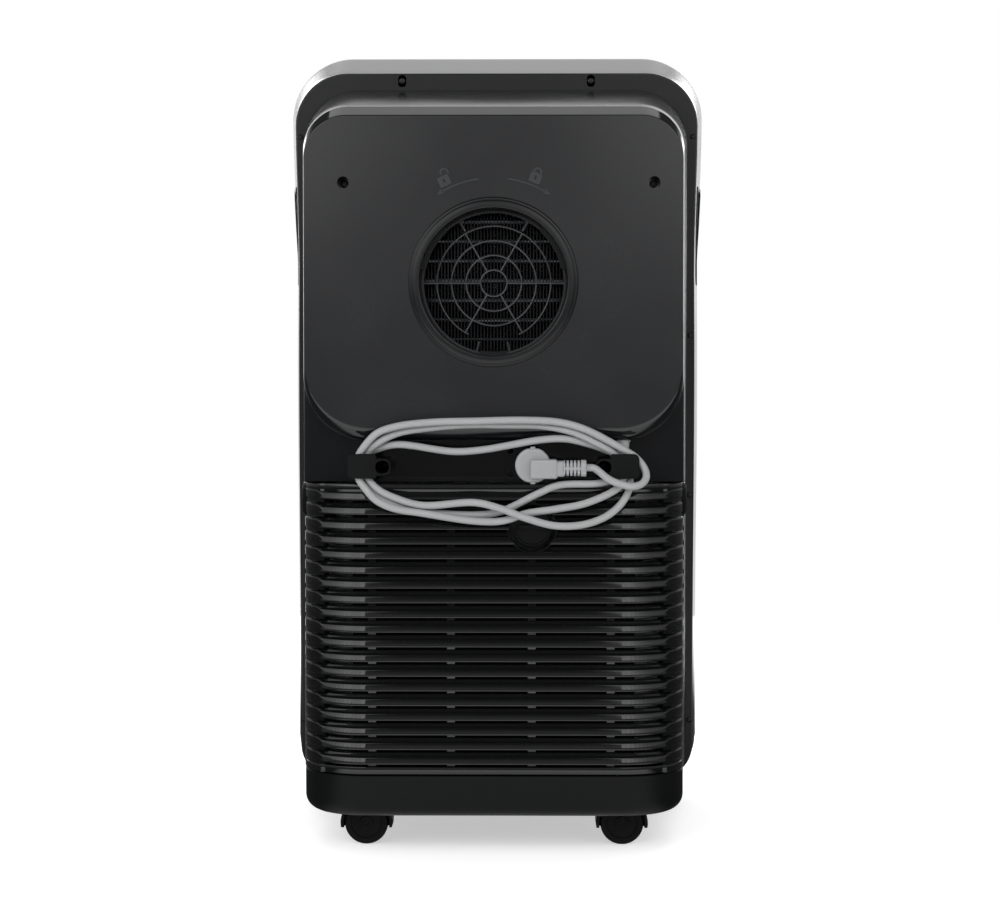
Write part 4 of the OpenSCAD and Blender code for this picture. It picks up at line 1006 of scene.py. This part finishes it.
stand_in("condenser_tubes", "condenser_tube_rows", make_tubes(), pipe_copper)


# ---------------------------------------------------------------- screws

def screw_mesh(head, shank):
    """Pan head with a cross recess, on a plain shank, along +Y from the face it holds."""
    profile = [(0.01, -10), (shank, -10), (shank, 0), (head, 0), (head, 0.9), (head * 0.93, 1.5),
               (head * 0.75, 1.95), (head * 0.4, 2.18), (0.01, 2.2)]
    body = revolve_y(profile, (0, 0), 32)
    arm = head * 0.62
    cross = [block((-arm, 0.9, -0.42), (arm, 3, 0.42)), block((-0.42, 0.9, -arm), (0.42, 3, arm))]
    return smooth(cut(body, cross), 35)


def make_screws():
    # Radii of the shank and the head, the depth of the face under the head, and the places
    groups = [(2.2, 4.2, 163, COVER_SCREWS), (2.0, 3.8, FLANGE_SINK_Y, FLANGE_SCREWS),
              (1.8, 2.9, FLANGE_Y, SIDE_SCREWS), (2.1, 4.0, 141, HOOK_SCREWS)]
    parts = []
    for shank, head, y, places in groups:
        screw = bpy.data.objects.new("screw", screw_mesh(head, shank))
        bpy.context.scene.collection.objects.link(screw)

        def at_places(tree, size):
            shape = add(tree, "GeometryNodeObjectInfo", {"Object": screw})
            return add(tree, "GeometryNodeInstanceOnPoints", {
                "Points": size["Geometry"], "Instance": shape.outputs["Geometry"],
                "Scale": add(tree, "ShaderNodeCombineXYZ", {0: size["Size"], 1: size["Size"],
                                                            2: size["Size"]}).outputs[0]
            }).outputs[0]
        parts.append(repeated("screws", {"Size": 1.0}, at_places, screw_steel,
                              mesh_of(at_y(places, y), [])))
        bpy.data.objects.remove(screw)
    return joined(parts)


stand_in("case_screws", "case_screw_set", make_screws(), screw_steel)


# ---------------------------------------------------------------- embossed signs by the outlet

EMBOSS = 0.5


def raised(outline, holes=()):
    """Flat sign on the cover's rear face, from outlines of (x, z)."""
    return cut(plate(outline, PLATEAU_Y - 0.4, PLATEAU_Y + EMBOSS),
               [plate(hole, PLATEAU_Y - 2, PLATEAU_Y + 3) for hole in holes])


def padlock(centre, tilt, is_open):
    """Padlock sign about 17 mm high, turned so that its foot points at the outlet."""
    def place(outline):
        c, s = math.cos(tilt), math.sin(tilt)
        return [(centre[0] + c * x - s * z, centre[1] + s * x + c * z) for x, z in outline]
    body = round_outline(6, -8, 2.5, 1.4, 1.4, 6)
    keyhole = [(x, z - 2.4) for x, z in round_outline(1.2, -2.2, 2.2, 1.19, 1.19, 6)]
    shift, lift, foot = (3.6, 1.6, 4.6) if is_open else (0.0, 0.0, 2.0)
    outer, inner = ([(shift + r * math.cos(math.pi * i / 20),
                      3.5 + lift + r * math.sin(math.pi * i / 20)) for i in range(21)]
                    for r in (4.6, 2.8))
    bow = ([(shift + 4.6, 2.0)] + outer + [(shift - 4.6, foot), (shift - 2.8, foot)]
           + inner[::-1] + [(shift + 2.8, 2.0)])
    if is_open:
        bow = [(-x, z) for x, z in bow][::-1]
    return joined([raised(place(body), [place(keyhole)]), raised(place(bow))])


def arc_arrow(radius, start, end, head_at_start):
    """Thin arc about the outlet with an arrow head at one end; angles in degrees."""
    def on(r, a):
        return (r * math.cos(math.radians(a)), OUTLET_Z + r * math.sin(math.radians(a)))
    body = ([on(radius + 0.7, start + (end - start) * i / 28) for i in range(29)]
            + [on(radius - 0.7, end + (start - end) * i / 28) for i in range(29)])
    tip, base = (start, 1) if head_at_start else (end, -1)
    head = [on(radius, tip - 3.0 * base), on(radius + 2.8, tip + 0.6 * base),
            on(radius - 2.8, tip + 0.6 * base)]
    if head_at_start:
        head.reverse()
    return joined([raised(body), raised(head)])


def make_signs():
    signs = []
    for angle, is_open in ((112, False), (64, True)):
        a = math.radians(angle)
        centre = (116 * math.cos(a), OUTLET_Z + 116 * math.sin(a))
        signs.append(padlock(centre, a - math.pi / 2, is_open))
    signs += [arc_arrow(105, 98, 120, False), arc_arrow(105, 60, 82, True)]
    return smooth(joined(signs), 30)


keep("outlet_lock_signs", make_signs(), sign_abs, "case")


# ---------------------------------------------------------------- base tray and casters

TRAY_LOW, TRAY_TOP, TRAY_ROUND = 36.8, 80, 16
CASTER_PLACES = {"rear_left": (120, 120), "rear_right": (-120, 120),
                 "front_left": (120, -92), "front_right": (-120, -92)}


def tray_ring(z, inset, front=0.0):
    """The tray's plan at a height, drawn in from its outer wall."""
    w = GRILLE_HALF - inset
    plan = quarter(w - 12, front - 116, 12, 270, 8)
    for x, start in ((GRILLE_HALF - GRILLE_R, 0), (GRILLE_R - GRILLE_HALF, 90)):
        plan += quarter(x, PLATEAU_Y - GRILLE_R, GRILLE_R - inset, start, 20)
    return [(x, y, z) for x, y in plan + quarter(12 - w, front - 116, 12, 180, 8)]


# Height, inset and inset of the front, from the deck's edge round the inside to the outer wall
TRAY_INSIDE = [(58.6, 23.4, 1), (43, 23.4, 1), (42.4, 22.6, 2.6), (42.4, 14, 2.6), (46, 6, 2.6),
               (54, 2.6, 2.6), (TRAY_TOP, 2.6, 2.6), (TRAY_TOP, 0.5, 0.5), (TRAY_TOP - 0.5, 0, 0)]
TRAY_SKIRT = [(TRAY_LOW, 25, 3.4), (TRAY_LOW + 0.6, 26, 4), (56, 26, 4)]


def make_base_tray():
    under = [(TRAY_LOW + TRAY_ROUND * (1 - math.sin(math.radians(a))),
              TRAY_ROUND * (1 - math.cos(math.radians(a)))) for a in range(0, 91, 9)]
    body = solid([tray_ring(*sizes) for sizes in TRAY_INSIDE]
                 + [tray_ring(z, inset, inset * 0.2) for z, inset in under]
                 + [tray_ring(*sizes) for sizes in TRAY_SKIRT])
    places = CASTER_PLACES.values()
    sockets = [rod((x, y, 50), (x, y, 77), 5.05, 24) for x, y in places]
    bosses = [cut(rod((x, y, 57), (x, y, 79), 9, 32), [socket.copy()])
              for (x, y), socket in zip(places, sockets)]
    # Shallow wells let the caster hoods swing past the skirt, deeper ones past the front wall
    wells = [rod((x, y, 30), (x, y, 41 if y > 0 else 51), 43.5, 96) for x, y in places]
    return smooth(joined([cut(body, sockets + wells)] + bosses), 32)


stand_in("base_tray", "base_tray_moulding", make_base_tray(), tray_pp)


# ---------------------------------------------------------------- cord hooks, plug and boot

HOOK_Y = 198
# Inner, outer, lower and upper edge of a hook's plate
HOOK_PLATE = (118, 147.5, 384, 409)


def make_hook(side):
    """Plate that keeps the lead on, on a post of U section with a screw at its foot."""
    x0, x1, z0, z1 = HOOK_PLATE
    mid_x, mid_z = (x0 + x1) / 2, (z0 + z1) / 2
    rim = [p for x, z, r, start in ((x1 - 4, z0 + 4, 4, 270), (x1 - 6, z1 - 6, 6, 0),
                                    (x0 + 3, z1 - 3, 3, 90), (x0 + 2, z0 + 2, 2, 180))
           for p in quarter(x, z, r, start, 8)]
    full = [(side * x, z) for x, z in rim]
    shrunk = [(side * (mid_x + (x - mid_x) * 0.965), mid_z + (z - mid_z) * 0.955) for x, z in rim]
    body = solid([at_y(shrunk, HOOK_Y - 3), at_y(full, HOOK_Y - 2.5), at_y(full, HOOK_Y - 0.6),
                  at_y(shrunk, HOOK_Y)])
    post = [(side * 114 + x, z) for x, z in round_outline(10, z0 + 3, z0 + 20, 6.8, 6.8, 8)]
    slot = [(side * 112.4 + x, z) for x, z in round_outline(6.7, z0 + 5.2, z0 + 17.8, 5.4, 5.4, 8)]
    body = cut(body, [plate(post, POCKET_Y, HOOK_Y - 0.1)], "UNION")
    tools = [plate(slot, POCKET_Y + 4, HOOK_Y + 5),
             block((side * 96, HOOK_Y - 7, z0 + 1), (side * 113, HOOK_Y + 5, z0 + 22)),
             rod_y(side * 112.6, z0 + 11.5, POCKET_Y - 2, POCKET_Y + 8, 2.2, 24)]
    return eased(cut(body, tools), 0.35, 35)


for node in ("hook_left", "hook_right"):
    low, high = span(node)
    stand_in(node, "cord_" + node, make_hook(1 if low.x + high.x > 0 else -1), tray_pp)

PLUG = Vector((-40, 178, 397))


def along_x(outline, stations):
    """Solid through outlines of (y, z) about the plug's centre: stations are (x, inset)."""
    cy = sum(y for y, _ in outline) / len(outline)
    cz = sum(z for _, z in outline) / len(outline)
    tall = max(z for _, z in outline) - cz
    wide = max(y for y, _ in outline) - cy
    return solid([[PLUG + Vector((x, cy + (y - cy) * (1 - inset / wide),
                                  cz + (z - cz) * (1 - inset / tall))) for y, z in outline]
                  for x, inset in stations])


def lozenge(y0, y1, z0, z1, radius):
    """Rounded rectangle of (y, z)."""
    return [((y0 + y1) / 2 + u, v)
            for u, v in round_outline((y1 - y0) / 2, z0, z1, radius, radius, 8)]


def make_plug():
    """Angled plug: a disc with two flats, a block at its side and a chamfered neck."""
    rim = [(18 * math.cos(math.pi * i / 48), max(-17.2, min(17.2, 18 * math.sin(math.pi * i / 48))))
           for i in range(96)]
    face = [(0, 1.0), (0.5, 0.25), (1.2, 0), (9.6, 0), (10.6, 0.25), (11.4, 0.9), (11.9, 2.0),
            (12.0, 3.4)]
    disc = solid([[PLUG + Vector((x * (1 - inset / 18), y, z * (1 - inset / 18))) for x, z in rim]
                  for y, inset in face])
    parts = [disc, along_x(lozenge(2, 22.6, -13.2, 6.4, 2.6), [(2, 0), (-22.8, 0), (-24, 0.5),
                                                              (-25.2, 1.9)]),
             along_x(lozenge(3.6, 21.4, -11.2, 4.8, 3.6), [(-22, 0), (-30.6, 0), (-31.6, 0.6)])]
    for z0, z1 in ((16, 19), (-19, -16)):
        nub = lozenge(1, 10.6, z0, z1, 0.8)
        parts.append(along_x(nub, [(-2.5, 0.3), (-2.2, 0), (2.2, 0), (2.5, 0.3)]))
    parts += [rod(PLUG + Vector((x, -17, 0)), PLUG + Vector((x, 1, 0)), 2.4, 24)
              for x in (-9.5, 9.5)]
    return smooth(joined(parts), 40)


plug = stand_in("plug", "angled_plug", make_plug(), plug_pvc)
second_material(plug, pin_nickel, lambda face: face.center.y < (PLUG.y - 0.5) * MM)


def make_boot():
    """Strain relief: slots above and below a middle bar, and a plain ring where the lead leaves."""
    body = along_x(lozenge(8, 22, -10.4, 5.4, 5), [(-31, 0), (-48.6, 0)])
    slots = [block(PLUG + Vector((x, 0, z0)), PLUG + Vector((x + 1.4, 30, z1)))
             for x in (-33.9, -37.6, -41.3, -45, -48.7) for z0, z1 in ((-1.4, 12), (-18, -3.8))]
    core = rod(PLUG + Vector((-31.2, 15, -2.5)), PLUG + Vector((-48.4, 15, -2.5)), 5.0, 32)
    ring = along_x(lozenge(7.6, 22.4, -10.9, 5.9, 5.4), [(-48.4, 0.5), (-49, 0), (-53.2, 0),
                                                         (-53.9, 0.6), (-54, 1.4)])
    return smooth(joined([cut(body, slots), core, ring]), 40)


boot = stand_in("cord_boot", "strain_relief_boot", make_boot(), plug_pvc)


# ---------------------------------------------------------------- key symbols

KEY_TOP, KEY_FIRST, KEY_PITCH = -1.2, -100, 26


def ring_mark(r0, r1, start, end):
    angles = [math.radians(start + (end - start) * i / 28) for i in range(29)]
    return ([(r1 * math.cos(a), r1 * math.sin(a)) for a in angles]
            + [(r0 * math.cos(a), r0 * math.sin(a)) for a in reversed(angles)])


def bar_mark(half, z0, z1):
    return [(-half, z0), (half, z0), (half, z1), (-half, z1)]


def petal_mark(angle):
    """Blade of a fan sign, leaning from the hub."""
    a = math.radians(angle)
    shape = [(0.4, 0.3), (1.6, 0.9), (3.3, 0.7), (4.1, -0.3), (3.4, -1.2), (1.9, -0.9)]
    return [(x * math.cos(a) - z * math.sin(a), x * math.sin(a) + z * math.cos(a))
            for x, z in shape][::-1]


# On and off, fan, less, more, timer
KEY_MARKS = [
    [ring_mark(3.1, 3.8, -235, 55), bar_mark(0.36, 0.6, 4.3)],
    [petal_mark(a) for a in (90, 210, 330)],
    [bar_mark(3.4, -0.4, 0.4)],
    [bar_mark(3.4, -0.4, 0.4), bar_mark(0.4, -3.4, 3.4)],
    [ring_mark(3.3, 3.9, 0, 359.9), bar_mark(0.3, 0, 2.5), bar_mark(0.3, 0, 1.0)],
]
for i, outlines in enumerate(KEY_MARKS):
    node = f"key_{i + 1}"
    marks = [sloped([(x + KEY_FIRST + KEY_PITCH * i, z) for x, z in outline],
                    KEY_TOP - 0.12, KEY_TOP + 0.4) for outline in outlines]
    keep(node + "_sign", joined(marks), mark_ink, BODY_OF[node])


# ---------------------------------------------------------------- plain carried-over parts

# The material of each and the radius of its edges
DRESSED = {
    "control_panel": (panel_acrylic, 0.5), "display_window": (panel_acrylic, 0.4),
    "hand_grips": (tray_pp, 1.2), "evaporator_coil": (fin_aluminium, 0),
    "rear_fan_housing": (fan_pp, 0.5),
    "rear_fan_motor": (motor_steel, 1.0), "front_fan_housing": (fan_pp, 0.5),
    "front_fan_motor": (motor_steel, 1.0), "partition": (galvanised, 0.3),
    "compressor": (compressor_enamel, 1.0), "accumulator": (compressor_enamel, 1.0),
    "compressor_feet": (foot_rubber, 0.6), "discharge_pipe": (pipe_copper, 0),
    "suction_pipe": (pipe_copper, 0), "control_box": (galvanised, 0.3),
    "water_pump": (pump_pp, 0.8), "drain_spigot": (tray_pp, 0.4), "air_filter": (filter_mesh, 0.3),
    "cord_gland": (lead_pvc, 0.4), "drain_cap": (tray_pp, 0.6), "flap": (frame_abs, 0.5),
    **{f"vane_{n}": (tray_pp, 0.3) for n in range(1, 5)}, "vane_link": (tray_pp, 0.3),
    "rear_fan_wheel": (fan_pp, 0.2), "front_fan_wheel": (fan_pp, 0.2),
}
DRESSED.update({f"key_{n}": (key_abs, 0.6) for n in range(1, 6)})
for corner in CASTER_PLACES:
    DRESSED[f"caster_{corner}"] = (caster_nylon, 0.8)
    DRESSED.update({f"wheel_{corner}_{half}": (tread_pu, 0.5) for half in "ab"})
made = {node: dress(node, material, radius) for node, (material, radius) in DRESSED.items()}

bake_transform(lead)


# ---------------------------------------------------------------- floor, backdrop and light

WHITE = (1, 1, 1, 1)
# Light that the floor gives off near the object, and what its sides show to mirrored rays
FLOOR_LIFT, SIDE_SHADE = 0.5, 0.06
FLOOR_R = 2200


def shown(tree, path):
    """1 for the rays that show the backdrop: straight, mirrored or through glass."""
    seen = math_node(tree, "MAXIMUM", path["Is Camera Ray"], path["Is Glossy Ray"])
    return math_node(tree, "MAXIMUM", seen, path["Is Transmission Ray"])


def floor_paint():
    """Matt white paint that keeps the shadows near the object and runs out into the backdrop."""
    material = bpy.data.materials.new("matt_white_floor_paint")
    material.use_nodes = True
    tree = material.node_tree
    tree.nodes.clear()
    path = add(tree, "ShaderNodeLightPath").outputs
    place = add(tree, "ShaderNodeTexCoord").outputs["Object"]
    paint = add(tree, "ShaderNodeBsdfPrincipled", {"Base Color": linear("#f2f2f2"),
                                                   "Roughness": 0.9, "Specular IOR Level": 0.2})
    away = add(tree, "ShaderNodeVectorMath", {0: place}, operation="LENGTH").outputs["Value"]
    level = math_node(tree, "MULTIPLY", shown(tree, path), ramp(tree, away, 0.5, 1.7, FLOOR_LIFT))
    glow = add(tree, "ShaderNodeEmission", {"Color": WHITE, "Strength": level})
    both = add(tree, "ShaderNodeAddShader", {0: paint.outputs["BSDF"], 1: glow.outputs[0]})
    # Mirrored in glossy faces, the floor at the sides is as dark as the room above it
    way = add(tree, "ShaderNodeVectorMath", {0: place}, operation="NORMALIZE").outputs[0]
    along = add(tree, "ShaderNodeSeparateXYZ", {0: way}).outputs["Y"]
    beside = math_node(tree, "MULTIPLY", ramp(tree, along, 0.75, 0.5),
                       ramp(tree, along, -0.98, -0.93))
    mirrored = math_node(tree, "MULTIPLY", beside, path["Is Glossy Ray"])
    shade = add(tree, "ShaderNodeEmission", {"Color": WHITE, "Strength": SIDE_SHADE})
    floor_seen = add(tree, "ShaderNodeMixShader", {0: mirrored, 1: both.outputs[0],
                                                   2: shade.outputs[0]})
    add(tree, "ShaderNodeOutputMaterial", {"Surface": floor_seen.outputs[0]})
    return material


floor_mesh = mesh_of([(FLOOR_R * math.cos(math.pi * i / 48), FLOOR_R * math.sin(math.pi * i / 48),
                       0) for i in range(96)], [tuple(range(96))])
floor = bpy.data.objects.new("floor", floor_mesh)
floor_mesh.materials.append(floor_paint())
bpy.context.scene.collection.objects.link(floor)


def softbox(name, bearing, distance, height, aim, width, tall, power):
    """Rectangular lamp: its bearing is in degrees from +Y towards +X, and it faces aim."""
    lamp = bpy.data.lights.new(name, "AREA")
    lamp.shape = "RECTANGLE"
    lamp.size = width
    lamp.size_y = tall
    lamp.energy = power
    holder = bpy.data.objects.new(name, lamp)
    a = math.radians(bearing)
    holder.location = (distance * math.sin(a), distance * math.cos(a), height)
    holder.rotation_euler = (Vector(aim) - holder.location).to_track_quat("-Z", "Y").to_euler()
    holder.visible_camera = False
    bpy.context.scene.collection.objects.link(holder)


# Two curved banks of narrow boxes: each starts a few degrees beside the middle, so the flat faces
# stay dark between them, and fades towards the side. Each bank has its start in degrees and the
# radiance of each box. The step is in degrees too, and the other sizes are in metres.
BANK_STEP, BANK_TALL, BANK_REACH, BANK_HIGH = 7.5, 1.4, 2.5, 1.45
BANK_AIM = (0, 0.15, 0.5)
BANKS = {
    "left": (7.4, [2.5, 2.2, 2.2, 2.4, 2.35, 1.95, 1.6, 1.3, 1.0, 0.82, 0.64, 0.46]),
    "right": (5.2, [2.2, 2.35, 2.0, 1.5, 1.15, 0.87, 0.65, 0.5, 0.43, 0.32, 0.22, 0.18]),
}
box_width = 2 * BANK_REACH * math.tan(math.radians(BANK_STEP / 2))
for word, (start, levels) in BANKS.items():
    turn = 1 if word == "left" else -1
    for i, radiance in enumerate(levels):
        softbox(f"bank_{word}_{i + 1}", turn * (start + BANK_STEP * (i + 0.5)), BANK_REACH,
                BANK_HIGH, BANK_AIM, box_width, BANK_TALL,
                radiance * math.pi * box_width * BANK_TALL)
softbox("top_box", 180, 1.0, 2.7, (0, -0.6, 0.6), 2.2, 2.0, 24)
# Rim boxes beyond the front draw the thin bright lines along both sides
for word, bearing in (("left", 155), ("right", -155)):
    softbox(f"rim_box_{word}", bearing, 3.0, 1.8, (0, 0, 0.45), 0.7, 2.6, 23)

world = bpy.data.worlds.new("studio")
bpy.context.scene.world = world
world.use_nodes = True
tree = world.node_tree
tree.nodes.clear()
path = add(tree, "ShaderNodeLightPath").outputs
way = add(tree, "ShaderNodeSeparateXYZ",
          {"Vector": add(tree, "ShaderNodeTexCoord").outputs["Generated"]}).outputs


def off(value, centre):
    """How far a value is from a centre, either way."""
    return math_node(tree, "ABSOLUTE", math_node(tree, "SUBTRACT", value, centre))


# For mirrored rays the room behind the lamps is dark, most of all low down and high up
room = ramp(tree, off(way["Z"], 0.12), 0.03, 0.2, 0.34, 0.08)
glow = ramp(tree, off(way["Z"], 0.31), 0.03, 0.14, 0.26, 0.0)
wide = ramp(tree, math_node(tree, "ABSOLUTE", way["X"]), 0.15, 0.28)
near = ramp(tree, way["Y"], -0.6, -0.3)
mirror = math_node(tree, "MULTIPLY", math_node(tree, "MAXIMUM", wide, near), path["Is Glossy Ray"])
backdrop = add(tree, "ShaderNodeMix", {0: mirror, 2: 1.0, 3: math_node(tree, "ADD", room, glow)},
               data_type="FLOAT").outputs[0]
DAYLIGHT = 0.42
strength = add(tree, "ShaderNodeMix", {0: shown(tree, path), 2: DAYLIGHT, 3: backdrop},
               data_type="FLOAT").outputs[0]
sky = add(tree, "ShaderNodeBackground", {"Color": WHITE, "Strength": strength})
add(tree, "ShaderNodeOutputWorld", {"Surface": sky.outputs[0]})
